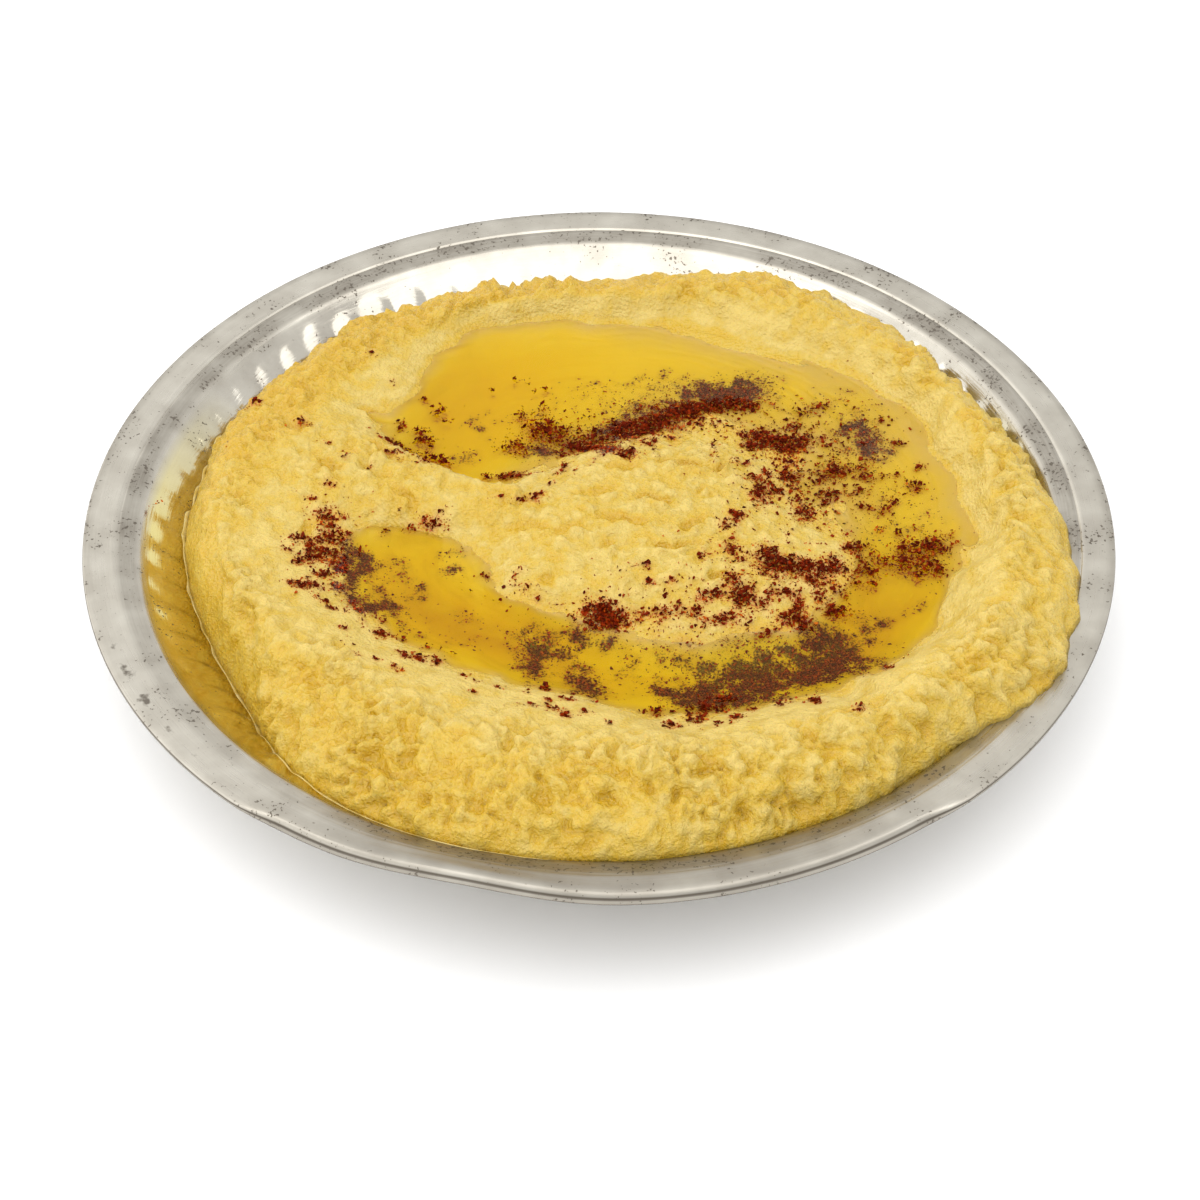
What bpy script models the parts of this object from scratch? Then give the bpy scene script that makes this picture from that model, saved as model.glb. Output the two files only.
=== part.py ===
"""A round tinned metal dish of hummus with olive oil lying in the spoon swirl.

Units are metres, +Z is up.  The origin is the middle of the dish's underside, where it stands on
the table.  Angles run round the dish in degrees, anticlockwise seen from above, from +X; -Y is the
side that faces the eater.  Heights called "over the rim" are measured from the plane of the rim.
"""
import math

import bmesh
import bpy
from mathutils import Vector, noise

# ---- dish: one pressed and hammered sheet ----
DISH_RADIUS = 0.110
DISH_HEIGHT = 0.028
SHEET = 0.0012
RIM_INNER_RADIUS = 0.1032        # inner end of the flat rim, at the groove
GROOVE_DEPTH = 0.00035
GROOVE_WIDTH = 0.001
SHOULDER_RADIUS = 0.099          # where the sloping ring inside the groove ends
SHOULDER_DROP = 0.0009
SHOULDER_ROUND = 0.0035          # radius of the bend from the ring into the wall
RING_SLOPE = math.radians(13)
WALL_SLOPE = math.radians(42)
FLOOR_ROUND = 0.014              # radius of the bend from the wall into the floor
EDGE_ROUND = 0.0004              # the rim's flat turns into the lip over this much
LIP_DROP = 0.0011                # how far the edge is turned down all round

# ---- damage to the dish ----
FOLD_FROM = 236                  # the edge is folded further down between these angles
FOLD_TO = 305
FOLD_END = 7.0                   # degrees over which the fold begins and ends
FOLD_INSET = 0.0020              # how far the fold draws the edge in
FOLD_BULGE = 0.3                 # share of that which the lip's lower end stands out again
FOLD_DROP = 0.0012
DENT_ANGLE = 256                 # the rim is bent up here
DENT_SPREAD = 11
DENT_LIFT = 0.0026
DENT_ROOT_RADIUS = 0.095

# ---- hummus: the curves that its surface follows, as angle: size, smooth between the points ----
EDGE_RADIUS = {0: 0.099, 15: 0.096, 30: 0.093, 60: 0.096, 75: 0.092, 90: 0.088, 120: 0.091, 150: 0.091,
               180: 0.0895, 200: 0.086, 213: 0.086, 232: 0.094, 250: 0.098, 315: 0.098, 330: 0.1045,
               345: 0.1035}
CREST_RADIUS = {0: 0.088, 30: 0.084, 60: 0.082, 90: 0.076, 120: 0.077, 150: 0.078, 180: 0.080, 225: 0.076,
                270: 0.080, 300: 0.086, 330: 0.090}
CREST_HEIGHT = {0: 0.007, 45: 0.005, 65: 0.005, 90: 0.004, 130: 0.0025, 190: 0.003, 225: 0.006, 270: 0.009,
                320: 0.009}
SHORE_RADIUS = {0: 0.078, 30: 0.076, 60: 0.069, 90: 0.068, 115: 0.071, 140: 0.064, 180: 0.055,
                230: 0.053, 260: 0.052, 290: 0.062, 310: 0.069, 330: 0.076}
MOUND_RADIUS = {0: 0.050, 30: 0.044, 55: 0.036, 90: 0.024, 150: 0.022, 180: 0.028, 230: 0.030, 260: 0.031,
                300: 0.042, 325: 0.053, 345: 0.055}
TROUGH_DEPTH = {0: 0.0025, 30: 0.0018, 60: 0.0022, 85: 0.004, 115: 0.006, 140: 0.005, 175: 0.004,
                215: 0.006, 245: 0.006, 280: 0.0045, 310: 0.0045, 335: 0.005}

BROW = (0.6, 0.62)               # a point of the outer face: share of the way out, and of the way up to the crest
MOUND_HEIGHT = 0.005
MOUND_BRINK = (0.55, 0.7)        # a point of the mound's top: shares of its radius and of its height
SADDLE_HEIGHT = 0.004
SADDLE_ANGLE = 158               # middle of the ridge that joins the bank to the mound
SADDLE_TWIST = 200               # degrees per metre that the ridge swings round towards the mound
SADDLE_BACK = 11                 # degrees that the ridge takes to fall away to the back
SADDLE_FRONT = 19                # and to the front
SADDLE_ROOT = 0.020              # the ridge has merged with the mound inside this radius
LUMP_SIZE = 0.009
LUMP_HEIGHT = 0.0009

OIL_LEVEL = -0.001               # over the rim
OIL_BASIN_RADIUS = 0.075         # a disc that covers all of the pool and stops at the bank
OIL_BASIN_CENTRE = (0.004, -0.0015)
OIL_BASIN_DEPTH = 0.012

GAP = 0.0006                     # upright gap between touching pieces
SECTORS = 64                     # facets round the dish
BLANK = 0.1                      # radius and height of the turned blank that becomes the hummus
MERGE = 0.00001
SHARP = math.radians(50)         # edges sharper than this stay crisp in the shading


def periodic(curve, angle):
    """The value of a closed curve of angle: size points, smooth between them."""
    keys = sorted(curve)
    count = len(keys)
    angle = angle % 360
    last = max((i for i in range(count) if keys[i] <= angle), default=-1)
    size = [curve[keys[(last + k) % count]] for k in (-1, 0, 1, 2)]
    start = keys[last] if last >= 0 else keys[-1] - 360
    span = (keys[(last + 1) % count] - start) % 360
    t = (angle - start) / span
    rise_in = (size[2] - size[0]) / 2
    rise_out = (size[3] - size[1]) / 2
    return (size[1] * (1 - 3 * t**2 + 2 * t**3) + size[2] * (3 * t**2 - 2 * t**3)
            + rise_in * (t - 2 * t**2 + t**3) + rise_out * (t**3 - t**2))


def smoothstep(low, high, value):
    t = min(1.0, max(0.0, (value - low) / (high - low)))
    return t * t * (3 - 2 * t)


def around(angle, centre):
    """Signed degrees from centre to angle, the short way round."""
    return (angle - centre + 180) % 360 - 180


def polar(point):
    return math.hypot(point.x, point.y), math.degrees(math.atan2(point.y, point.x)) % 360


def place(point, radius, angle, height):
    point.x = radius * math.cos(math.radians(angle))
    point.y = radius * math.sin(math.radians(angle))
    point.z = height


# ---- dish ----
def arc(radius, start, end, count):
    """Steps (inwards, down) along a bend that turns from slope start to slope end."""
    turn = math.copysign(radius, end - start)
    for k in range(1, count + 1):
        slope = start + (end - start) * k / count
        yield turn * (math.sin(slope) - math.sin(start)), turn * (math.cos(start) - math.cos(slope))


def dish_profile():
    """Upper side of the sheet, (radius, height), from the middle of the floor out to the lip."""
    top = DISH_HEIGHT
    outside_in = [
        (DISH_RADIUS, top - LIP_DROP),
        (DISH_RADIUS, top - EDGE_ROUND),
        (DISH_RADIUS - EDGE_ROUND, top),
        (RIM_INNER_RADIUS, top),
        (RIM_INNER_RADIUS - GROOVE_WIDTH / 2, top - GROOVE_DEPTH),
        (RIM_INNER_RADIUS - GROOVE_WIDTH, top - GROOVE_DEPTH / 2),
        (SHOULDER_RADIUS, top - SHOULDER_DROP),
    ]
    radius, height = outside_in[-1]
    bend = [(radius - d, height - drop) for d, drop in arc(SHOULDER_ROUND, RING_SLOPE, WALL_SLOPE, 3)]
    outside_in += bend
    radius, height = bend[-1]
    floor_bend = list(arc(FLOOR_ROUND, WALL_SLOPE, 0.0, 4))
    wall_foot = SHEET + floor_bend[-1][1]
    foot_radius = radius - (height - wall_foot) / math.tan(WALL_SLOPE)
    outside_in.append((foot_radius, wall_foot))
    outside_in += [(foot_radius - d, wall_foot - drop) for d, drop in floor_bend]
    outside_in.append((0.0, SHEET))
    return outside_in[::-1]


PROFILE = dish_profile()


def fold(angle):
    """1 where the edge is folded down, 0 elsewhere."""
    return (smoothstep(FOLD_FROM - FOLD_END, FOLD_FROM, angle)
            * (1 - smoothstep(FOLD_TO, FOLD_TO + FOLD_END, angle)))


def dent(radius, angle):
    """How far the dent lifts the rim."""
    rise = math.exp(-(around(angle, DENT_ANGLE) / DENT_SPREAD) ** 2)
    return DENT_LIFT * rise * smoothstep(DENT_ROOT_RADIUS, DISH_RADIUS, radius)


def metal_height(radius, angle):
    """Height of the dish's upper side."""
    for (r0, z0), (r1, z1) in zip(PROFILE, PROFILE[1:]):
        if radius <= r1:
            return z0 + (z1 - z0) * (radius - r0) / (r1 - r0) + dent(radius, angle)
    return DISH_HEIGHT + dent(radius, angle)


def material(name, colour, roughness, metallic=0.0, transmission=0.0):
    made = bpy.data.materials.new(name)
    made.use_nodes = True
    shader = made.node_tree.nodes["Principled BSDF"]
    shader.inputs["Base Color"].default_value = (*colour, 1.0)
    shader.inputs["Roughness"].default_value = roughness
    shader.inputs["Metallic"].default_value = metallic
    shader.inputs["Transmission Weight"].default_value = transmission
    return made


def finish(obj, collection, surface, smooth=True):
    """Puts a piece in its collection with its material and shading."""
    obj.data.materials.clear()
    obj.data.materials.append(surface)
    if smooth:
        obj.data.shade_smooth()
        obj.data.set_sharp_from_angle(angle=SHARP)
    collection.objects.link(obj)


def turned(name, profile):
    """A mesh turned from a profile that runs down its outer side."""
    line = bmesh.new()
    points = [line.verts.new((radius, 0.0, height)) for radius, height in profile]
    for a, b in zip(points, points[1:]):
        line.edges.new((a, b))
    mesh = bpy.data.meshes.new(name)
    line.to_mesh(mesh)
    line.free()
    blank = bpy.data.objects.new(name, mesh)
    bpy.context.scene.collection.objects.link(blank)
    screw = blank.modifiers.new("turn", "SCREW")
    screw.steps = SECTORS
    screw.render_steps = SECTORS
    screw.use_merge_vertices = True
    screw.merge_threshold = MERGE
    evaluated = blank.evaluated_get(bpy.context.evaluated_depsgraph_get())
    result = bpy.data.meshes.new_from_object(evaluated)
    bpy.data.objects.remove(blank)
    bpy.data.meshes.remove(mesh)
    return result


def make_dish(collection):
    mesh = turned("dish", PROFILE)
    for vertex in mesh.vertices:
        radius, angle = polar(vertex.co)
        folded = fold(angle)
        height = vertex.co.z + dent(radius, angle)
        if radius > DISH_RADIUS - EDGE_ROUND / 2:
            depth = (DISH_HEIGHT - vertex.co.z) / LIP_DROP
            radius -= FOLD_INSET * folded * (1 - FOLD_BULGE * depth)
            height -= FOLD_DROP * folded * depth
        elif radius > RIM_INNER_RADIUS + MERGE:
            radius -= FOLD_INSET * folded
        place(vertex.co, radius, angle, height)
    dish = bpy.data.objects.new("dish", mesh)
    sheet = dish.modifiers.new("sheet", "SOLIDIFY")
    sheet.thickness = SHEET
    sheet.offset = -1.0
    sheet.use_even_offset = True
    finish(dish, collection, material("tinned_metal", (0.63, 0.62, 0.58), 0.33, metallic=1.0))
    return dish


# ---- hummus ----
def hermite(nodes, at):
    """Height at a distance along (distance, height) nodes, smooth and without overshoot."""
    steps = [(z1 - z0) / (r1 - r0) for (r0, z0), (r1, z1) in zip(nodes, nodes[1:])]
    slopes = [0.0]
    for before, after in zip(steps, steps[1:]):
        slopes.append(2 * before * after / (before + after) if before * after > 0 else 0.0)
    slopes.append(steps[-1])
    for i, ((r0, z0), (r1, z1)) in enumerate(zip(nodes, nodes[1:])):
        if at <= r1 or i == len(nodes) - 2:
            span = r1 - r0
            t = (at - r0) / span
            return (z0 * (1 - 3 * t**2 + 2 * t**3) + z1 * (3 * t**2 - 2 * t**3)
                    + slopes[i] * span * (t - 2 * t**2 + t**3) + slopes[i + 1] * span * (t**3 - t**2))


def saddle(radius, angle):
    """1 on the ridge that joins the bank to the mound, 0 in the trough."""
    crest = periodic(CREST_RADIUS, angle)
    away = around(angle, SADDLE_ANGLE + SADDLE_TWIST * (CREST_RADIUS[180] - radius))
    spread = SADDLE_BACK if away < 0 else SADDLE_FRONT
    return math.exp(-(away / spread) ** 4) * smoothstep(0.0, SADDLE_ROOT, radius) * (radius < crest)


def hummus_height(radius, angle):
    """Height of the hummus's top, in metres over the table."""
    edge = periodic(EDGE_RADIUS, angle)
    crest = periodic(CREST_RADIUS, angle)
    shore = periodic(SHORE_RADIUS, angle)
    mound = periodic(MOUND_RADIUS, angle)
    bed = OIL_LEVEL - periodic(TROUGH_DEPTH, angle)
    crest_height = periodic(CREST_HEIGHT, angle)
    edge_height = metal_height(edge, angle) + GAP - DISH_HEIGHT
    brow = (crest + BROW[0] * (edge - crest), edge_height + BROW[1] * (crest_height - edge_height))
    nodes = [(0.0, MOUND_HEIGHT), (MOUND_BRINK[0] * mound, MOUND_BRINK[1] * MOUND_HEIGHT), (mound, OIL_LEVEL),
             ((mound + shore) / 2, bed), (shore, OIL_LEVEL), (crest, crest_height), brow, (edge, edge_height)]
    height = hermite(nodes, radius)
    ridge = saddle(radius, angle)
    joined = SADDLE_HEIGHT + (crest_height - SADDLE_HEIGHT) * smoothstep(shore, crest, radius)
    height += (joined - height) * ridge
    spot = Vector((radius * math.cos(math.radians(angle)), radius * math.sin(math.radians(angle)), 0.0))
    rough = smoothstep(shore, crest, radius) * (1 - smoothstep(crest, edge, radius))
    height += LUMP_HEIGHT * rough * noise.noise(spot / LUMP_SIZE)
    return DISH_HEIGHT + height


# Rings of the hummus's top from the middle to the mound's foot, the shore, the crest and the edge,
# and rings of its underside, up to the steep part of the wall and on to the edge.
TOP_RINGS = (5, 7, 3, 4)
BED_RINGS = (5, 9)
BED_BREAK = 0.078


def ring_radius(ring, knots, rings):
    """Radius of a ring, counted from the middle, where each zone between two knots has its own rings."""
    for count, start, end in zip(rings, knots, knots[1:]):
        if ring <= count or end == knots[-1]:
            return start + (end - start) * ring / count
        ring -= count


def make_hummus(collection):
    top_count = sum(TOP_RINGS)
    bed_count = sum(BED_RINGS)
    top = [(BLANK * k / top_count, BLANK * (1 - k / top_count)) for k in range(top_count + 1)]
    bed = [(BLANK * k / bed_count, -BLANK * (1 - k / bed_count)) for k in range(bed_count - 1, -1, -1)]
    mesh = turned("hummus", top + bed)
    for vertex in mesh.vertices:
        share, angle = polar(vertex.co)
        share /= BLANK
        edge = periodic(EDGE_RADIUS, angle)
        if vertex.co.z > -MERGE:
            knots = [0.0, periodic(MOUND_RADIUS, angle), periodic(SHORE_RADIUS, angle),
                     periodic(CREST_RADIUS, angle), edge]
            radius = ring_radius(round(share * top_count), knots, TOP_RINGS)
            place(vertex.co, radius, angle, hummus_height(radius, angle))
        else:
            radius = ring_radius(round(share * bed_count), [0.0, BED_BREAK, edge], BED_RINGS)
            place(vertex.co, radius, angle, metal_height(radius, angle) + GAP)
    hummus = bpy.data.objects.new("hummus", mesh)
    finish(hummus, collection, material("hummus", (0.80, 0.62, 0.24), 0.6))
    return hummus


# ---- oil ----
def make_oil(collection, cutters, hummus):
    cutter = bpy.data.objects.new("hummus_cutter", hummus.data.copy())
    cutter.location.z = GAP
    cutter.hide_render = True
    cutter.display_type = "WIRE"
    cutters.objects.link(cutter)

    disc = bmesh.new()
    bmesh.ops.create_cone(disc, cap_ends=True, segments=SECTORS, radius1=OIL_BASIN_RADIUS,
                          radius2=OIL_BASIN_RADIUS, depth=OIL_BASIN_DEPTH)
    mesh = bpy.data.meshes.new("olive_oil")
    disc.to_mesh(mesh)
    disc.free()
    oil = bpy.data.objects.new("olive_oil", mesh)
    oil.location = (*OIL_BASIN_CENTRE, DISH_HEIGHT + OIL_LEVEL - OIL_BASIN_DEPTH / 2)
    cut = oil.modifiers.new("lie_on_hummus", "BOOLEAN")
    cut.operation = "DIFFERENCE"
    cut.solver = "EXACT"
    cut.object = cutter
    surface = material("olive_oil", (0.86, 0.72, 0.05), 0.03, transmission=1.0)
    finish(oil, collection, surface, smooth=False)
    return oil


for old in list(bpy.data.objects):
    bpy.data.objects.remove(old, do_unlink=True)

parts = bpy.data.collections.new("hummus_dish")
cutters = bpy.data.collections.new("cutters")
bpy.context.scene.collection.children.link(parts)
bpy.context.scene.collection.children.link(cutters)

make_dish(parts)
make_oil(parts, cutters, make_hummus(parts))
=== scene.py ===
import math

import bmesh
import bpy
import numpy as np
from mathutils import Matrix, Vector, noise
from mathutils.bvhtree import BVHTree


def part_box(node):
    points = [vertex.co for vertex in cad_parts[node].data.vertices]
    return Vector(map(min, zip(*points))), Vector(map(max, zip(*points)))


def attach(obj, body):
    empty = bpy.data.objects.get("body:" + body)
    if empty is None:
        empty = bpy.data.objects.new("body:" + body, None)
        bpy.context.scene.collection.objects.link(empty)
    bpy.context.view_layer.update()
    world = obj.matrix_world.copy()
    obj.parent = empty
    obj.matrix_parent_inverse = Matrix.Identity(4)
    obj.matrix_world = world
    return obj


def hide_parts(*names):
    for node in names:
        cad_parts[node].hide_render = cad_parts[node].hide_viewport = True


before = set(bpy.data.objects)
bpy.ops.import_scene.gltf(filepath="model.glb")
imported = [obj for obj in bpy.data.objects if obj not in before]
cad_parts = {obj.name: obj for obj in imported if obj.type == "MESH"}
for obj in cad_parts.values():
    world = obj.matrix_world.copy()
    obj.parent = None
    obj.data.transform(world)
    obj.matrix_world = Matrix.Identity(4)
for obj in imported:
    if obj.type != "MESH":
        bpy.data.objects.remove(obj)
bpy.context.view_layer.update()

# Angles run round the dish in degrees, anticlockwise seen from above, from +X; -Y faces the eater.


# ---- The dish ----
# A shallow round dish, spun from sheet copper and tinned by hand, then hammered round the wall with
# a ring of upright oval bosses.  The edge is turned down, and along the near side it has been knocked
# further over, with one dent that lifts the rim.
dish_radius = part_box("dish")[1].x
rim_height = 0.028
sheet = 0.0012
groove_radius = 0.1027               # a turned groove marks the inner end of the flat rim
groove_half_width = 0.0005
groove_depth = 0.00035
shoulder_radius = 0.099              # the ring inside the groove slopes down to here
shoulder_drop = 0.0009
shoulder_round = 0.0022
ring_slope = math.radians(13)
wall_slope = math.radians(42)
floor_round = 0.014
edge_round = 0.0005
edge_fall = 0.00016                  # the flat rim dips a little to its rounded edge
lip_drop = 0.0011
wall_foot, floor_start = 0.083, 0.078   # between these the mesh needs no rings, as the hummus hides it
fold_from, fold_to, fold_end = 236, 305, 7.0
fold_inset, fold_drop = 0.0020, 0.0012
dent_angle, dent_spread, dent_lift, dent_root = 256, 11, 0.0026, 0.095
sectors = 600


def smoothstep(low, high, value):
    share = np.clip((value - low) / (high - low), 0.0, 1.0)
    return share * share * (3 - 2 * share)


def around(angle, centre):
    """Signed degrees from centre to angle, the short way round."""
    return (angle - centre + 180) % 360 - 180


def unevenness(spots, size, layer):
    """Smooth noise from -1 to 1 at (x, y) or (x, y, z) spots, with swells about size metres across."""
    scaled = np.column_stack([spots / size, np.zeros((len(spots), 3 - spots.shape[1]))])
    return np.array([noise.noise((x, y, z + 9.7 * layer)) for x, y, z in scaled.tolist()])


def bend(radius, start, end, steps=8):
    """Steps (inwards, down) along a bend that turns from slope start to slope end."""
    turn = math.copysign(radius, end - start)
    for k in range(1, steps + 1):
        slope = start + (end - start) * k / steps
        yield turn * (math.sin(slope) - math.sin(start)), turn * (math.cos(start) - math.cos(slope))


def dish_outline():
    """Upper side of the sheet as (radius, height), from the flat rim in to the middle."""
    points = [(dish_radius - edge_round, rim_height - edge_fall),
              (dish_radius - 2 * edge_round, rim_height - edge_fall / 3),
              (dish_radius - 4 * edge_round, rim_height),
              (groove_radius + groove_half_width, rim_height),
              (groove_radius, rim_height - groove_depth),
              (groove_radius - groove_half_width, rim_height - groove_depth / 2),
              (shoulder_radius, rim_height - shoulder_drop)]
    radius, height = points[-1]
    points += [(radius - x, height - z) for x, z in bend(shoulder_round, ring_slope, wall_slope)]
    radius, height = points[-1]
    floor_bend = list(bend(floor_round, wall_slope, 0.0))
    foot_height = sheet + floor_bend[-1][1]
    foot_radius = radius - (height - foot_height) / math.tan(wall_slope)
    points += [(foot_radius, foot_height)]
    points += [(foot_radius - x, foot_height - z) for x, z in floor_bend]
    return points + [(0.0, sheet)]


outline = dish_outline()
outline_radius = np.array([radius for radius, height in outline[::-1]])
outline_height = np.array([height for radius, height in outline[::-1]])


def metal_height(radius, angle):
    """Height of the dish's upper side, dent included and flutes left out."""
    dented = np.exp(-(around(angle, dent_angle) / dent_spread) ** 2)
    rise = dented * smoothstep(dent_root, dish_radius, radius)
    return np.interp(radius, outline_radius, outline_height) + dent_lift * rise


def placed(name, data):
    """A new object in the scene."""
    made = bpy.data.objects.new(name, data)
    bpy.context.scene.collection.objects.link(made)
    return made


def keep(mesh, **numbers):
    """Stores numbers on the mesh, one per vertex under each name."""
    for name, values in numbers.items():
        mesh.attributes.new(name, "FLOAT", "POINT").data.foreach_set("value", values.astype(np.float32))


def add(tree, kind, settings=None, inputs=None):
    """Adds a node. settings are its properties; inputs are values, or nodes or sockets to link."""
    made = tree.nodes.new(kind)
    for name, value in (settings or {}).items():
        setattr(made, name, value)
    for socket, value in (inputs or {}).items():
        if isinstance(value, bpy.types.Node):
            tree.links.new(value.outputs[0], made.inputs[socket])
        elif isinstance(value, bpy.types.NodeSocket):
            tree.links.new(value, made.inputs[socket])
        else:
            made.inputs[socket].default_value = value
    return made


def node_tree(name, sizes):
    """A Geometry Nodes tree with a geometry input and output and named number inputs."""
    tree = bpy.data.node_groups.new(name, "GeometryNodeTree")
    tree.interface.new_socket("Geometry", in_out="INPUT", socket_type="NodeSocketGeometry")
    for label, value in sizes.items():
        socket = tree.interface.new_socket(label, in_out="INPUT", socket_type="NodeSocketFloat")
        socket.default_value = value
    tree.interface.new_socket("Geometry", in_out="OUTPUT", socket_type="NodeSocketGeometry")
    return tree, tree.nodes.new("NodeGroupInput")


def grown(piece, tree, sizes):
    """The plain mesh that the piece's mesh becomes when the node tree runs on it."""
    modifier = piece.modifiers.new(tree.name, "NODES")
    modifier.node_group = tree
    for item in tree.interface.items_tree:
        if item.in_out == "INPUT" and item.name in sizes:
            modifier[item.identifier] = float(sizes[item.name])
    evaluated = piece.evaluated_get(bpy.context.evaluated_depsgraph_get())
    mesh = bpy.data.meshes.new_from_object(evaluated)
    piece.modifiers.clear()
    return mesh


def flute_tree(sizes):
    """Raises a ring of upright oval bosses on a turned sheet, each a little different."""
    tree, given = node_tree("hammered bosses", sizes)
    given = given.outputs
    place = add(tree, "ShaderNodeSeparateXYZ", {}, {0: add(tree, "GeometryNodeInputPosition")})
    x, y = place.outputs["X"], place.outputs["Y"]
    angle = add(tree, "ShaderNodeMath", {"operation": "ARCTAN2"}, {0: y, 1: x})
    flat = add(tree, "ShaderNodeCombineXYZ", {}, {"X": x, "Y": y})
    radius = add(tree, "ShaderNodeVectorMath", {"operation": "LENGTH"}, {0: flat}).outputs["Value"]
    per_radian = add(tree, "ShaderNodeMath", {"operation": "DIVIDE"}, {0: given["Flutes"], 1: math.tau})
    turned = add(tree, "ShaderNodeMath", {"operation": "MULTIPLY"}, {0: angle, 1: per_radian})
    nearest = add(tree, "ShaderNodeMath", {"operation": "ROUND"}, {0: turned})
    flute = add(tree, "ShaderNodeMath", {"operation": "FLOORED_MODULO"}, {0: nearest, 1: given["Flutes"]})
    off = add(tree, "ShaderNodeMath", {"operation": "SUBTRACT"}, {0: turned, 1: nearest})
    arc = add(tree, "ShaderNodeMath", {"operation": "DIVIDE"}, {0: radius, 1: per_radian})
    across = add(tree, "ShaderNodeMath", {"operation": "MULTIPLY"}, {0: off, 1: arc})
    wander = add(tree, "FunctionNodeRandomValue", {"data_type": "FLOAT"},
                 {2: -0.0006, 3: 0.0006, "ID": flute, "Seed": 3}).outputs[1]
    middle = add(tree, "ShaderNodeMath", {"operation": "ADD"}, {0: given["Middle Radius"], 1: wander})
    along = add(tree, "ShaderNodeMath", {"operation": "SUBTRACT"}, {0: radius, 1: middle})
    u = add(tree, "ShaderNodeMath", {"operation": "DIVIDE"}, {0: across, 1: given["Half Width"]})
    v = add(tree, "ShaderNodeMath", {"operation": "DIVIDE"}, {0: along, 1: given["Half Length"]})
    reach = add(tree, "ShaderNodeCombineXYZ", {}, {"X": u, "Y": v})
    square = add(tree, "ShaderNodeVectorMath", {"operation": "DOT_PRODUCT"}, {0: reach, 1: reach})
    hollow = add(tree, "ShaderNodeMath", {"operation": "SUBTRACT", "use_clamp": True},
                 {0: 1.0, 1: square.outputs["Value"]})
    blow = add(tree, "FunctionNodeRandomValue", {"data_type": "FLOAT"},
               {2: 0.75, 3: 1.25, "ID": flute, "Seed": 8}).outputs[1]
    strength = add(tree, "ShaderNodeMath", {"operation": "MULTIPLY"}, {0: blow, 1: given["Height"]})
    dip = add(tree, "ShaderNodeMath", {"operation": "MULTIPLY"}, {0: hollow, 1: strength})
    push = add(tree, "ShaderNodeVectorMath", {"operation": "SCALE"},
               {0: add(tree, "GeometryNodeInputNormal"), "Scale": dip})
    moved = add(tree, "GeometryNodeSetPosition", {}, {"Geometry": given["Geometry"], "Offset": push})
    add(tree, "NodeGroupOutput", {}, {"Geometry": moved})
    return tree


# Spots where the tin has gone dark: degrees, radius and size in mm, how dark.
rim_marks = [
    (197.0, 107.2, 0.9, 0.5), (201.7, 106.9, 1.3, 0.9), (206.1, 106.9, 1.6, 1.0), (211.4, 107.0, 1.5, 1.0),
    (216.7, 107.0, 1.2, 0.8), (221.6, 107.0, 0.9, 0.7), (229.0, 106.6, 0.6, 0.6), (238.3, 105.7, 0.9, 0.9),
    (243.0, 108.0, 0.7, 0.4), (258.0, 102.6, 1.3, 0.8), (187.0, 107.0, 0.8, 0.4), (178.0, 106.6, 0.7, 0.4),
    (21.8, 108.3, 0.5, 0.9), (16.3, 108.6, 0.5, 0.9), (2.9, 107.0, 0.5, 0.9), (352.7, 108.1, 0.5, 0.9),
]


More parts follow.
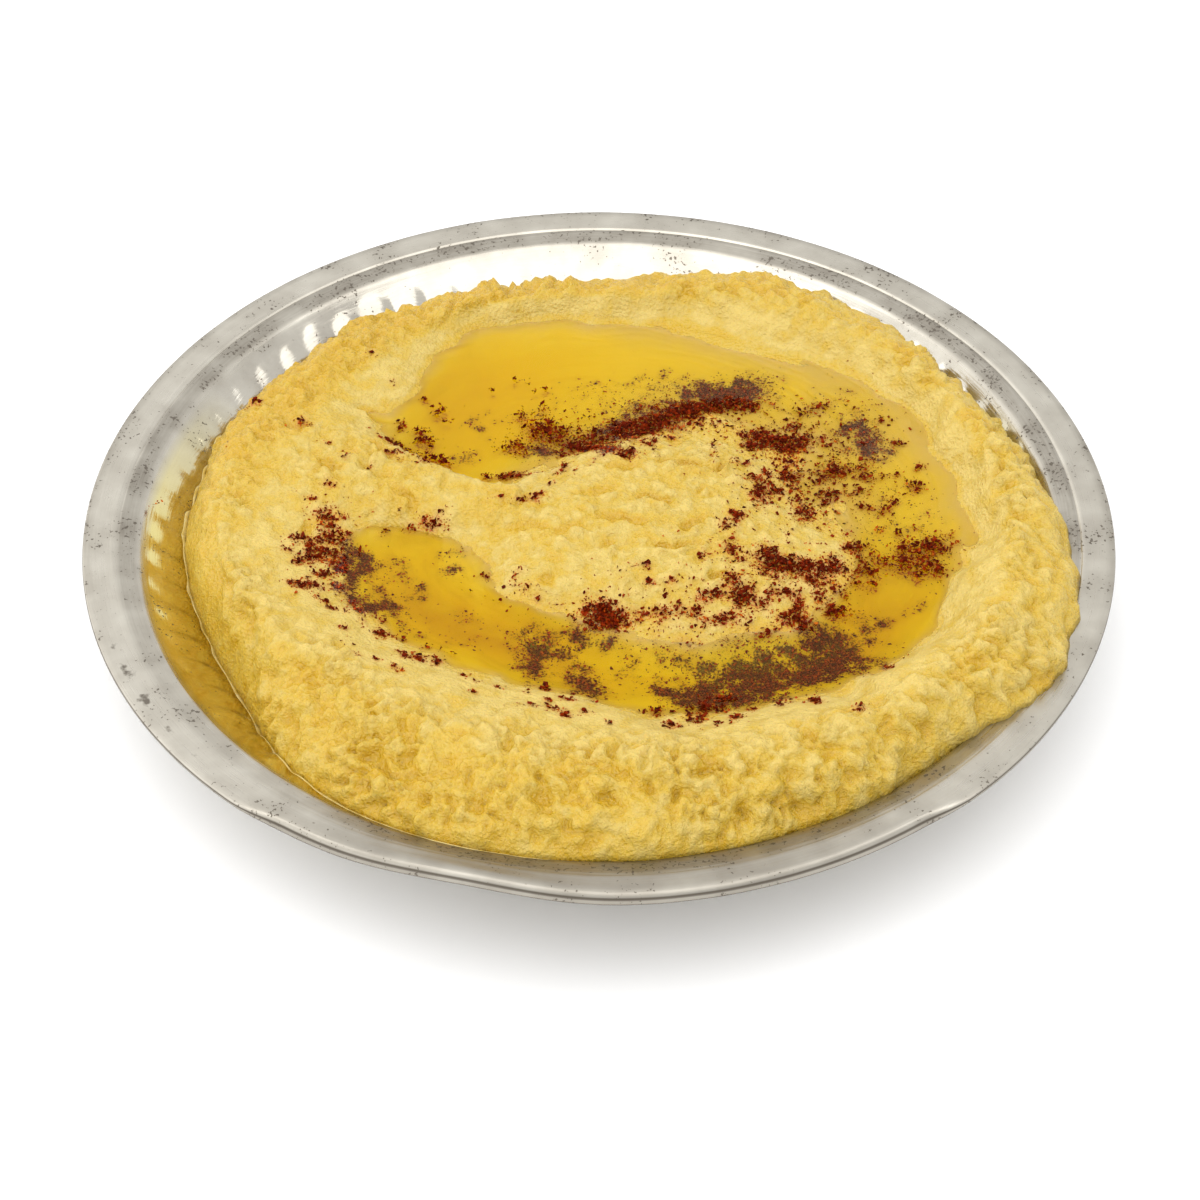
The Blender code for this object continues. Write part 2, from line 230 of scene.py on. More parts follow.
def make_dish():
    """The sheet's upper side turned from its outline, hammered, folded and dented, then given its wall."""
    top_of_edge = rim_height - edge_fall
    turns = [math.radians(a) for a in (0, 18, 36, 54, 72)]
    lip = [(dish_radius, rim_height - lip_drop * (1 - 0.08 * k)) for k in range(6)]
    lip += [(dish_radius - edge_round * (1 - math.cos(a)),
             top_of_edge - edge_round * (1 - math.sin(a))) for a in turns]
    groove_out = groove_radius + groove_half_width
    rim = np.concatenate([dish_radius - edge_round * np.array([1.0, 1.5, 2.0, 3.0, 4.0]),
                          np.linspace(dish_radius - 5.5 * edge_round, groove_out, 7)])
    groove = np.linspace(groove_radius + groove_half_width, groove_radius - groove_half_width, 5)[1:]
    wall = np.arange(groove[-1] - 0.0005, wall_foot, -0.0005)
    floor = np.linspace(floor_start, 0.0, 14)
    inner = np.concatenate([rim, groove, wall, floor])
    profile = lip + list(zip(inner, np.interp(inner, outline_radius, outline_height)))

    line = bmesh.new()
    points = [line.verts.new((radius, 0.0, height)) for radius, height in profile]
    for a, b in zip(points, points[1:]):
        line.edges.new((a, b))
    mesh = bpy.data.meshes.new("dish_profile")
    line.to_mesh(mesh)
    line.free()
    blank = placed("dish_blank", mesh)
    screw = blank.modifiers.new("turn", "SCREW")
    screw.steps = sectors
    screw.render_steps = sectors
    screw.use_merge_vertices = True
    screw.merge_threshold = 0.00001
    screw.use_normal_flip = True
    flutes = {"Flutes": 70, "Middle Radius": 0.0914, "Half Width": 0.0041, "Half Length": 0.0049,
              "Height": 0.0007}
    mesh = grown(blank, flute_tree(flutes), flutes)
    bpy.data.objects.remove(blank)

    at = np.array([v.co for v in mesh.vertices])
    radius = np.hypot(at[:, 0], at[:, 1])
    angle = np.degrees(np.arctan2(at[:, 1], at[:, 0])) % 360
    folded = smoothstep(fold_from - fold_end, fold_from, angle)
    folded *= 1 - smoothstep(fold_to, fold_to + fold_end, angle)
    rim_end = dish_radius - edge_round
    rim_start = groove_radius + groove_half_width
    on_lip = radius > rim_end + 1e-6
    down = np.where(on_lip, (rim_height - at[:, 2]) / lip_drop, 0.0)
    inset = fold_inset * folded * np.where(on_lip, 1 - 0.3 * down, smoothstep(rim_start, rim_end, radius))
    turned = np.interp(radius, outline_radius, outline_height)
    dented = metal_height(radius, angle) - turned
    # the groove is all but rubbed away round the near side
    worn = 0.9 * smoothstep(165, 195, angle) * (1 - smoothstep(335, 358, angle))
    groove_share = (groove_radius + groove_half_width - radius) / (2 * groove_half_width)
    filled = rim_height - groove_depth / 2 * groove_share - turned
    in_groove = (groove_share > 0.01) & (groove_share < 0.99)
    spots = at[:, :2]
    buckle = 0.00010 * unevenness(spots, 0.022, 1) + 0.00004 * unevenness(spots, 0.007, 2)
    at[:, 2] += dented - fold_drop * folded * down + buckle + worn * in_groove * filled
    at[:, :2] *= ((radius - inset) / np.maximum(radius, 1e-6))[:, None]
    mesh.vertices.foreach_set("co", at.ravel())
    marked = np.zeros(len(radius))
    for mark_angle, mark_radius, mark_size, mark_share in rim_marks:
        along = np.radians(around(angle, mark_angle)) * radius * 1000
        out = radius * 1000 - mark_radius
        marked += mark_share * np.exp(-((along / 1.5) ** 2 + out ** 2) / mark_size ** 2)
    keep(mesh, lip=down, marked=np.clip(marked, 0, 1))
    mesh.shade_smooth()
    mesh.set_sharp_from_angle(angle=math.radians(50))

    dish = placed("tinned_dish", mesh)
    wall = dish.modifiers.new("sheet", "SOLIDIFY")
    wall.thickness = sheet
    wall.offset = -1.0
    wall.use_even_offset = True
    return dish


def linear(code):
    """The linear colour of an sRGB hex code."""
    shares = [int(code[i:i + 2], 16) / 255 for i in (1, 3, 5)]
    return [s / 12.92 if s <= 0.04045 else ((s + 0.055) / 1.055) ** 2.4 for s in shares] + [1.0]


def new_material(name):
    material = bpy.data.materials.new(name)
    material.use_nodes = True
    return material, material.node_tree, material.node_tree.nodes["Principled BSDF"]


def hand_tinned_copper():
    """Wiped tin over copper: a soft grey metal, scratched round by wiping, pitted and stained dark, with
    painted shade under the turned edge and painted reflections, darker on the near rim and golden on the
    near half of the wall.
    """
    material, tree, shader = new_material("hand_tinned_copper")
    place = add(tree, "ShaderNodeTexCoord").outputs["Object"]
    axes = add(tree, "ShaderNodeSeparateXYZ", {}, {0: place})
    flat = add(tree, "ShaderNodeCombineXYZ", {}, {"X": axes.outputs["X"], "Y": axes.outputs["Y"]})
    radius = add(tree, "ShaderNodeVectorMath", {"operation": "LENGTH"}, {0: flat}).outputs["Value"]
    # wiping marks lie round the dish: they change every 0.4 mm outwards and every 12 mm along
    heading = add(tree, "ShaderNodeVectorMath", {"operation": "NORMALIZE"}, {0: flat})
    long_way = add(tree, "ShaderNodeVectorMath", {"operation": "SCALE"}, {0: heading, "Scale": 9.0})
    short_way = add(tree, "ShaderNodeMath", {"operation": "MULTIPLY"}, {0: radius, 1: 2500.0})
    lift = add(tree, "ShaderNodeCombineXYZ", {}, {"Z": short_way})
    wiped = add(tree, "ShaderNodeVectorMath", {"operation": "ADD"}, {0: long_way, 1: lift})
    wiping = add(tree, "ShaderNodeTexNoise", {},
                 {"Vector": wiped, "Scale": 1.0, "Detail": 3.0}).outputs["Fac"]
    # clouds of thinner tin about 9 mm across, and dark pits under 1 mm apart where it has gone
    clouds = add(tree, "ShaderNodeTexNoise", {},
                 {"Vector": place, "Scale": 110.0, "Detail": 4.0}).outputs["Fac"]
    pits = add(tree, "ShaderNodeTexNoise", {},
               {"Vector": place, "Scale": 1300.0, "Detail": 2.0}).outputs["Fac"]
    # grime lies on the sloping ring inside the groove, and the metal is darker along the very edge
    ring = add(tree, "ShaderNodeValToRGB", {}, {"Fac": add(
        tree, "ShaderNodeMapRange", {}, {"Value": radius, 1: 0.098, 2: 0.1105, 3: 0.0, 4: 1.0})})
    ring.color_ramp.elements[0].color = (0.05, 0.05, 0.05, 1)
    ring.color_ramp.elements[1].color = (0.6, 0.6, 0.6, 1)
    for position, grey in ((0.10, 0.55), (0.33, 0.60), (0.40, 0.0), (0.78, 0.08), (0.90, 0.45)):
        ring.color_ramp.elements.new(position).color = (grey, grey, grey, 1)
    # it is thickest on the far side and half wiped off towards the eater; right next to the eater the ring
    # and the edge are painted darker again as a painted reflection
    far = add(tree, "ShaderNodeMapRange", {},
              {"Value": axes.outputs["Y"], 1: -0.06, 2: 0.01, 3: 0.40, 4: 1.35})
    nearest = add(tree, "ShaderNodeMapRange", {},
                  {"Value": axes.outputs["Y"], 1: -0.075, 2: -0.1, 3: 0.0, 4: 1.1})
    far = add(tree, "ShaderNodeMath", {"operation": "ADD"}, {0: far, 1: nearest})
    ring = add(tree, "ShaderNodeMath", {"operation": "MULTIPLY"}, {0: ring, 1: far})
    # painted shade: a dark line is painted just under the turned edge, and the turned-down band below it is
    # painted darker grey as a painted reflection
    below_edge = add(tree, "ShaderNodeAttribute", {"attribute_name": "lip"}).outputs["Fac"]
    lip = add(tree, "ShaderNodeValToRGB", {}, {"Fac": below_edge})
    lip.color_ramp.elements[0].color = (0, 0, 0, 1)
    lip.color_ramp.elements[1].color = (0.9, 0.9, 0.9, 1)
    for position, grey in ((0.25, 0.0), (0.42, 0.9), (0.55, 0.8), (0.68, 0.35), (0.92, 0.4)):
        lip.color_ramp.elements.new(position).color = (grey, grey, grey, 1)
    gone = add(tree, "ShaderNodeMath", {"operation": "MULTIPLY_ADD"}, {0: ring, 1: 0.22, 2: clouds})
    gone = add(tree, "ShaderNodeMapRange", {}, {"Value": gone, 1: 0.45, 2: 0.75, 3: 0.73, 4: 0.55})
    pitted = add(tree, "ShaderNodeMath", {"operation": "SUBTRACT"}, {0: pits, 1: gone})
    pitted = add(tree, "ShaderNodeMapRange", {}, {"Value": pitted, 1: 0.0, 2: 0.05, 3: 0.0, 4: 0.8})
    grime_and_painted_shade = add(tree, "ShaderNodeMath", {"operation": "ADD"}, {0: clouds, 1: wiping})
    grime_and_painted_shade = add(tree, "ShaderNodeMath", {"operation": "MULTIPLY"}, {0: grime_and_painted_shade, 1: 0.5})
    grime_and_painted_shade = add(tree, "ShaderNodeMath", {"operation": "MULTIPLY"}, {0: grime_and_painted_shade, 1: ring})
    dark = add(tree, "ShaderNodeMath", {"operation": "MAXIMUM"}, {0: pitted, 1: grime_and_painted_shade})
    dark = add(tree, "ShaderNodeMath", {"operation": "MAXIMUM"}, {0: dark, 1: lip})
    # painted reflection: the flat of the rim on the near side is painted darker
    painted_near_reflection = add(tree, "ShaderNodeMapRange", {},
               {"Value": axes.outputs["Y"], 1: -0.078, 2: -0.098, 3: 0.0, 4: 0.36})
    flat_rim = add(tree, "ShaderNodeMapRange", {}, {"Value": radius, 1: 0.1078, 2: 0.1088, 3: 1.0, 4: 0.0})
    painted_near_reflection = add(tree, "ShaderNodeMath", {"operation": "MULTIPLY"}, {0: painted_near_reflection, 1: flat_rim})
    dark = add(tree, "ShaderNodeMath", {"operation": "MAXIMUM"}, {0: dark, 1: painted_near_reflection})
    # the darkened spots are ragged, with edges broken every millimetre
    marked = add(tree, "ShaderNodeAttribute", {"attribute_name": "marked"}).outputs["Fac"]
    broken = add(tree, "ShaderNodeTexNoise", {},
                 {"Vector": place, "Scale": 600.0, "Detail": 3.0}).outputs["Fac"]
    broken = add(tree, "ShaderNodeMath", {"operation": "MULTIPLY_ADD"}, {0: marked, 1: 0.45, 2: broken})
    broken = add(tree, "ShaderNodeMapRange", {}, {"Value": broken, 1: 0.76, 2: 0.96, 3: 0.0, 4: 0.8})
    dark = add(tree, "ShaderNodeMath", {"operation": "MAXIMUM"}, {0: dark, 1: broken})
    tone = add(tree, "ShaderNodeMapRange", {}, {"Value": clouds, 1: 0.3, 2: 0.7, 3: 0.0, 4: 1.0})
    tin = add(tree, "ShaderNodeMix", {"data_type": "RGBA"},
              {0: tone, 6: linear("#c7c2b6"), 7: linear("#afa99d")})
    # painted reflection: the near half of the wall is painted golden, standing in for the hummus seen in
    # the metal
    wall = add(tree, "ShaderNodeMapRange", {}, {"Value": radius, 1: 0.0960, 2: 0.0980, 3: 0.9, 4: 0.0})
    near = add(tree, "ShaderNodeMapRange", {},
               {"Value": axes.outputs["Y"], 1: 0.045, 2: 0.0, 3: 0.0, 4: 1.0})
    painted_gold_reflection = add(tree, "ShaderNodeMath", {"operation": "MULTIPLY"}, {0: wall, 1: near})
    # only on the upper side of the sheet: above a cone just under it
    rise = math.tan(wall_slope)
    middle = float(metal_height(np.array([0.09]), np.array([0.0]))[0]) - 0.09 * rise - sheet / 4
    cone = add(tree, "ShaderNodeMath", {"operation": "MULTIPLY_ADD"},
               {0: radius, 1: -rise, 2: axes.outputs["Z"]})
    upper = add(tree, "ShaderNodeMath", {"operation": "GREATER_THAN"}, {0: cone, 1: middle})
    painted_gold_reflection = add(tree, "ShaderNodeMath", {"operation": "MULTIPLY"}, {0: painted_gold_reflection, 1: upper})
    tin = add(tree, "ShaderNodeMix", {"data_type": "RGBA"},
              {0: painted_gold_reflection, 6: tin.outputs[2], 7: linear("#e6d78c")})
    # the dark mixed in here is pits, stains and grime, with the painted shade under the edge and the
    # painted darker reflections of the near rim
    worn = add(tree, "ShaderNodeMix", {"data_type": "RGBA"},
               {0: dark, 6: tin.outputs[2], 7: linear("#4d443a")}).outputs[2]
    # the rim is scuffed dull, the wall inside the shoulder is still bright
    streak = add(tree, "ShaderNodeMapRange", {}, {"Value": wiping, 1: 0.3, 2: 0.7, 3: 0.24, 4: 0.38})
    scuffed = add(tree, "ShaderNodeMapRange", {}, {"Value": radius, 1: 0.0965, 2: 0.0990, 3: -0.16, 4: 0.0})
    streak = add(tree, "ShaderNodeMath", {"operation": "ADD"}, {0: streak, 1: scuffed})
    rough = add(tree, "ShaderNodeMath", {"operation": "MULTIPLY_ADD"}, {0: dark, 1: 0.3, 2: streak})
    bump = add(tree, "ShaderNodeBump", {}, {"Height": wiping, "Strength": 0.25, "Distance": 0.00012})
    for socket, value in (("Base Color", worn), ("Roughness", rough.outputs[0]),
                          ("Normal", bump.outputs[0])):
        tree.links.new(value, shader.inputs[socket])
    shader.inputs["Metallic"].default_value = 1.0
    return material


dish = make_dish()
dish.data.materials.append(hand_tinned_copper())
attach(dish, "root")
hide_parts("dish")


# ---- The hummus ----
# A thick chickpea and sesame purée, heaped in the dish and swirled with the back of a spoon: a
# lumpy bank pressed up round the outside, a smooth trough wiped round inside it, and a creased
# mound left in the middle, joined to the bank by a saddle on the left.
edge_radius = {0: 0.099, 15: 0.096, 30: 0.093, 60: 0.096, 75: 0.092, 90: 0.088, 120: 0.091, 150: 0.091,
               180: 0.0895, 200: 0.086, 213: 0.086, 232: 0.094, 250: 0.098, 315: 0.098, 330: 0.1045,
               345: 0.1035}
crest_radius = {0: 0.088, 30: 0.084, 60: 0.082, 90: 0.076, 120: 0.077, 150: 0.078, 180: 0.080, 225: 0.076,
                270: 0.080, 300: 0.086, 330: 0.090}
crest_height = {0: 0.007, 45: 0.005, 65: 0.005, 90: 0.004, 130: 0.0025, 190: 0.003, 225: 0.006, 270: 0.009,
                320: 0.009}
shore_radius = {0: 0.078, 30: 0.076, 60: 0.069, 90: 0.068, 115: 0.071, 140: 0.0575, 160: 0.054, 182: 0.0575,
                230: 0.0545, 260: 0.052, 290: 0.062, 310: 0.069, 330: 0.076}
mound_radius = {0: 0.050, 30: 0.044, 55: 0.036, 90: 0.024, 150: 0.022, 180: 0.028, 230: 0.030, 260: 0.031,
                300: 0.042, 325: 0.053, 345: 0.055}
trough_depth = {0: 0.0012, 30: 0.0006, 60: 0.0008, 82: 0.0014, 100: 0.0028, 120: 0.0046, 140: 0.0038,
                165: 0.003, 190: 0.004, 215: 0.006, 245: 0.006, 280: 0.0040, 310: 0.0036, 335: 0.0056,
                348: 0.0032}
bed_place = {0: 0.5, 90: 0.66, 150: 0.66, 200: 0.5, 330: 0.5}      # where it is deepest, mound to shore
mound_height = 0.005
saddle_height = 0.004
saddle_angle, saddle_twist = 158, 200            # degrees, and degrees per metre towards the mound
saddle_back, saddle_front = 11, 19
oil_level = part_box("olive_oil")[1].z
oil_depth_at_rim = oil_level - rim_height
top_rings = 176                                   # ring i has 6 i points, so all triangles are alike
edge_thickness = 0.0013
bed_gap = 0.00005                                 # between the hummus and the metal

# Heights of the lumps and of what is finer; then how lumpy the bank is, how ragged its edge is, and
# how much oil its outer side has taken, round the dish.
lump_height, crumb_height = 0.0018, 0.0003
swell_height, wrinkle_height = 0.0006, 0.0013
combed_angle, combed_spread = 186, 34             # where the spoon's edge has combed the bank smooth
bumpy = {0: 0.65, 45: 0.65, 90: 0.85, 140: 0.9, 180: 0.8, 215: 1.0, 250: 1.1, 300: 1.1, 330: 0.85}
ragged = {0: 1.5, 60: 1.2, 130: 1.2, 170: 0.6, 250: 0.6, 290: 1.6, 330: 2.0}
oiled = {0: 0.12, 45: 0.30, 90: 0.72, 140: 0.72, 180: 0.56, 215: 0.36, 245: 0.42, 275: 0.30, 305: 0.12,
         330: 0.10}

# Creases that the spoon left: x, y and half length in millimetres, turn in degrees, depth in mm.
creases = [
    (18, 14.5, 5.0, -3, 1.3), (26.5, 13, 2.0, 50, 1.0), (5, 12.5, 4.0, 5, 0.5), (12, 1.5, 3.5, -12, 1.1),
    (5, -5, 5.0, -15, 0.7), (20, -6, 3.5, 32, 0.7), (19, -12.5, 3.2, 20, 0.9), (13.5, -13.5, 1.5, 0, 0.9),
    (25, -21, 2.0, 0, 0.9), (22, 5, 1.6, 60, 0.6), (-15, -6, 4.5, -5, 0.5), (-6, -8, 4.0, 8, 0.5),
    (-11, -21.5, 1.8, -5, 0.6), (2, -12.5, 1.6, 20, 0.4), (-2, 3, 5.0, 12, 0.4), (-41, 3, 4.0, -60, 0.7),
    (-58, 13, 3.5, -40, 0.8), (-47, 18, 4.5, -50, 0.7), (-66, 27, 3.0, 10, 0.6), (-54, 17, 2.5, 0, 0.5),
    (-62, -4, 3.0, 70, 0.5), (-50, 35, 4.0, -30, 0.5),
]


def round_curve(sizes, angle):
    """Value at each angle of a closed curve through angle: size points, smooth between them."""
    keys = np.array(sorted(sizes), float)
    size = np.array([sizes[key] for key in sorted(sizes)])
    last = np.searchsorted(keys, angle % 360, side="right") - 1
    before, start, end, after = (size[(last + k) % len(keys)] for k in (-1, 0, 1, 2))
    span = (keys[(last + 1) % len(keys)] - keys[last]) % 360
    t = ((angle - keys[last]) % 360) / span
    return (start * (1 - 3 * t**2 + 2 * t**3) + end * (3 * t**2 - 2 * t**3)
            + (end - before) / 2 * (t - 2 * t**2 + t**3) + (after - start) / 2 * (t**3 - t**2))


def toward(angle):
    """The (x, y) one metre out at each angle."""
    return np.stack([np.cos(np.radians(angle)), np.sin(np.radians(angle))], 1)


def smooth_line(distances, heights, at):
    """Heights of a line through (distance, height) nodes, smooth and without overshoot."""
    r, z = np.stack(distances), np.stack(heights)
    step = np.diff(z, axis=0) / np.diff(r, axis=0)
    a, b = step[:-1], step[1:]
    middle = np.where(a * b > 0, 2 * a * b / np.where(a + b == 0, 1, a + b), 0.0)
    slope = np.concatenate([0 * step[:1], middle, step[-1:]])
    piece = (at > r[1:-1]).sum(axis=0)[None]
    r0, z0, s0 = (np.take_along_axis(x, piece, 0)[0] for x in (r, z, slope))
    r1, z1, s1 = (np.take_along_axis(x, piece + 1, 0)[0] for x in (r, z, slope))
    span = r1 - r0
    t = (at - r0) / span
    return (z0 * (1 - 3 * t**2 + 2 * t**3) + z1 * (3 * t**2 - 2 * t**3)
            + s0 * span * (t - 2 * t**2 + t**3) + s1 * span * (t**3 - t**2))


def spooned_height(radius, angle, edge):
    """Height of the plain swirl over the table, before lumps and creases."""
    crest, shore = round_curve(crest_radius, angle), round_curve(shore_radius, angle)
    mound = round_curve(mound_radius, angle)
    bed = oil_depth_at_rim - round_curve(trough_depth, angle)
    top = round_curve(crest_height, angle)
    foot = metal_height(edge, angle) - rim_height
    level = 0 * radius
    height = smooth_line(
        [level, 0.55 * mound, mound, mound + round_curve(bed_place, angle) * (shore - mound),
         shore, crest, crest + 0.6 * (edge - crest), edge],
        [level + mound_height, level + 0.7 * mound_height, level + oil_depth_at_rim, bed,
         level + oil_depth_at_rim, top, foot + 0.62 * (top - foot), foot], radius)
    away = around(angle, saddle_angle + saddle_twist * (crest_radius[180] - radius))
    ridge = np.exp(-(away / np.where(away < 0, saddle_back, saddle_front)) ** 4)
    ridge *= smoothstep(0.0, 0.02, radius) * (radius < crest)
    joined = saddle_height + (top - saddle_height) * smoothstep(shore, crest, radius)
    return rim_height + height + (joined - height) * ridge, crest, shore, mound, ridge


def curds(spots, size, layer):
    """Rounded crumbs of purée about size apart: 1 at the middle of each, 0 where they meet."""
    shift = Vector((layer * 7.3, layer * 3.1, layer * 5.7))
    nearest = np.array([noise.voronoi(Vector(spot) / size + shift)[0][0] for spot in spots.tolist()])
    return np.clip(1 - (nearest / 0.8) ** 2, 0, 1)


def hummus_surface(radius, angle, edge):
    """Height of the plain surface, how far lumps stand out of it, and how hollow each spot is."""
    spots = radius[:, None] * toward(angle)
    drift = 0.0030 * unevenness(spots, 0.014, 3) + 0.0014 * unevenness(spots, 0.006, 4)
    inside = smoothstep(0.004, 0.016, edge - radius)
    height, crest, shore, mound, ridge = spooned_height(radius + drift * inside, angle, edge)
    solid = np.column_stack([spots, height])
    bank = smoothstep(shore + 0.4 * (crest - shore), crest, radius)
    combed = np.exp(-(around(angle, combed_angle) / combed_spread) ** 2)
    combed *= smoothstep(0.0, 0.006, radius - crest)
    rough_part = round_curve(bumpy, angle) * (1.0 + 1.0 * unevenness(solid, 0.019, 16))
    ridge_side = np.maximum(bank * (1 - 0.75 * combed), 0.60 * ridge) * rough_part
    outer_side = smoothstep(-0.002, 0.006, radius - crest)
    bank_side = bank * np.maximum(outer_side, smoothstep(-0.01, 0.03, spots[:, 1]))
    centre = 1 - smoothstep(0.75 * mound, 1.05 * mound, radius)
    swell = unevenness(spots, 0.011, 5)
    warped = spots + 0.0012 * np.stack([unevenness(solid, 0.004, 6), unevenness(solid, 0.004, 7)], 1)
    # lumps about 4.4 and 2.3 mm across, folds between them, and crumbs of 1.5 mm on top
    lumpy = np.column_stack([warped, height])
    lumps = 1.15 * (0.75 * curds(lumpy, 0.0044, 8) + 0.55 * curds(lumpy, 0.0023, 9) - 0.92
                    + 0.9 * np.abs(unevenness(lumpy, 0.0040, 10)) + 0.4 * unevenness(lumpy, 0.0013, 18))
    crumbs = curds(lumpy, 0.0015, 22) - 0.5
    # the spoon's edge leaves fine lines that lie round the dish, 1.2 mm apart
    reach = np.stack([radius / 0.0012, np.radians(angle) * 5.2], 1)
    wiped = unevenness(np.stack([reach[:, 0] + 2 * swell, reach[:, 1]], 1), 1.0, 11)
    grain = unevenness(spots, 0.0011, 12)
    under_oil = 1 - smoothstep(oil_level - 0.0015, oil_level, height)
    wrinkle = np.abs(unevenness(warped, 0.0034, 13)) + 0.5 * np.abs(unevenness(warped, 0.0016, 20)) - 0.45
    smooth_part = (1 - bank * (1 - combed)) * (1 - 0.6 * under_oil)
    relief = (ridge_side * (lump_height * lumps + crumb_height * crumbs)
              + smooth_part * (0.0003 + 0.0002 * combed) * wiped
              + centre * wrinkle_height * wrinkle + swell_height * swell * (1 - 0.7 * under_oil)
              + bank * 0.0015 * unevenness(solid, 0.0085, 17) + 0.00010 * grain * (1 - under_oil))
    # oil has gathered between the lumps and on the outer and far sides of the bank
    hollow = ridge_side * np.clip(0.10 - 1.1 * lumps, 0, 1) + bank_side * round_curve(oiled, angle)
    hollow += 0.16 * ridge
    hollow += 0.35 * centre * np.clip(-wrinkle / 0.3, 0, 1)
    crumpled = unevenness(spots, 0.0036, 19)
    for x, y, half, turn, depth in creases:
        turn = math.radians(turn)
        dx, dy = spots[:, 0] * 1000 - x, spots[:, 1] * 1000 - y
        along = dx * math.cos(turn) + dy * math.sin(turn)
        across = dy * math.cos(turn) - dx * math.sin(turn) + 0.8 * crumpled + 0.03 * along ** 2 / half
        width = (0.65 + 0.13 * half) * (1 + 0.9 * crumpled)
        fade = np.exp(-(along / half) ** 4)
        dip = fade * np.exp(-(across / width) ** 2)
        lip = fade * np.exp(-((across + 1.9 * width) / (1.2 * width)) ** 2)
        relief += lump_height * depth * (0.5 * lip - dip)
        hollow += 1.9 * dip * min(1.0, 1.1 * depth)
    # the edge is blunt: it stands edge_thickness over the metal, rounded within 2.2 mm
    blunt = np.clip((edge - radius) / 0.0022, 0, 1)
    height += edge_thickness * np.sqrt(1 - (1 - blunt) ** 2)
    height -= edge_thickness * smoothstep(0.002, 0.012, edge - radius)
    return height, relief * smoothstep(0.0, 0.0016, edge - radius), np.clip(hollow, 0, 1)


def zip_rings(outer, inner):
    """Triangles between two closed rings of points with different counts, both anticlockwise."""
    made = []
    i = j = 0
    while i < len(outer) or j < len(inner):
        a, b = outer[i % len(outer)], inner[j % len(inner)]
        if j >= len(inner) or (i < len(outer) and (i + 0.5) / len(outer) <= (j + 0.5) / len(inner)):
            made.append((a, outer[(i + 1) % len(outer)], b))
            i += 1
        else:
            made.append((a, inner[(j + 1) % len(inner)], b))
            j += 1
    return made


def disc_rings(counts):
    """Rings of point numbers, from the middle point out, and the triangles of the disc they span."""
    rings = [[0]]
    for count in counts:
        first = rings[-1][-1] + 1
        rings.append(list(range(first, first + count)))
    triangles = [(0, rings[1][k], rings[1][(k + 1) % len(rings[1])]) for k in range(len(rings[1]))]
    for inner, outer in zip(rings[1:], rings[2:]):
        triangles += zip_rings(outer, inner)
    return rings, triangles


def ragged_edge(angle):
    """How far out the hummus reaches against the wall, with its small bays."""
    along = 0.09 * toward(angle)
    bays = 0.0009 * unevenness(along, 0.009, 14) + 0.0004 * unevenness(along, 0.003, 15)
    return round_curve(edge_radius, angle) + round_curve(ragged, angle) * bays


def make_hummus():
    """The hummus as one closed piece, with the points and triangles of its upper side."""
    rings, top = disc_rings([6 * k for k in range(1, top_rings + 1)])
    share = np.concatenate([np.full(len(ring), k / top_rings) for k, ring in enumerate(rings)])
    angle = np.concatenate([np.arange(len(ring)) * 360 / len(ring) for ring in rings])
    edge = ragged_edge(angle)
    radius = share * edge
    height, relief, hollow = hummus_surface(radius, angle, edge)
    points = np.column_stack([radius[:, None] * toward(angle), height])

    # the underside: coarser rings that follow the metal, zipped to the top's outermost ring
    rim = rings[-1]
    bed_shares = (0.985, 0.965, 0.93, 0.88, 0.82, 0.7, 0.45, 0.2)
    bed_counts = (495, 330, 220, 165, 110, 72, 36, 12)
    bed, outer = [], rim
    for bed_share, count in zip(bed_shares, bed_counts):
        bed_angle = np.arange(count) * 360 / count
        bed_radius = bed_share * ragged_edge(bed_angle)
        first = len(points)
        lower = metal_height(bed_radius, bed_angle) + bed_gap
        points = np.vstack([points, np.column_stack([bed_radius[:, None] * toward(bed_angle), lower])])
        inner = list(range(first, first + count))
        bed += [face[::-1] for face in zip_rings(outer, inner)]
        outer = inner
    points = np.vstack([points, [(0.0, 0.0, sheet + bed_gap)]])
    middle = len(points) - 1
    bed += [(outer[(k + 1) % len(outer)], outer[k], middle) for k in range(len(outer))]

    mesh = bpy.data.meshes.new("hummus_swirl")
    mesh.from_pydata(points.tolist(), [], top + bed)
    mesh.update()
    outward = np.array([normal.vector for normal in mesh.vertex_normals])[:len(share)]
    points[:len(share)] += outward * relief[:, None]
    mesh.vertices.foreach_set("co", points.ravel())
    mesh.update()
    mesh.shade_smooth()
    keep(mesh, hollow=np.concatenate([hollow, np.zeros(len(points) - len(hollow))]))
    return placed("hummus_swirl", mesh), points[:len(share)], top


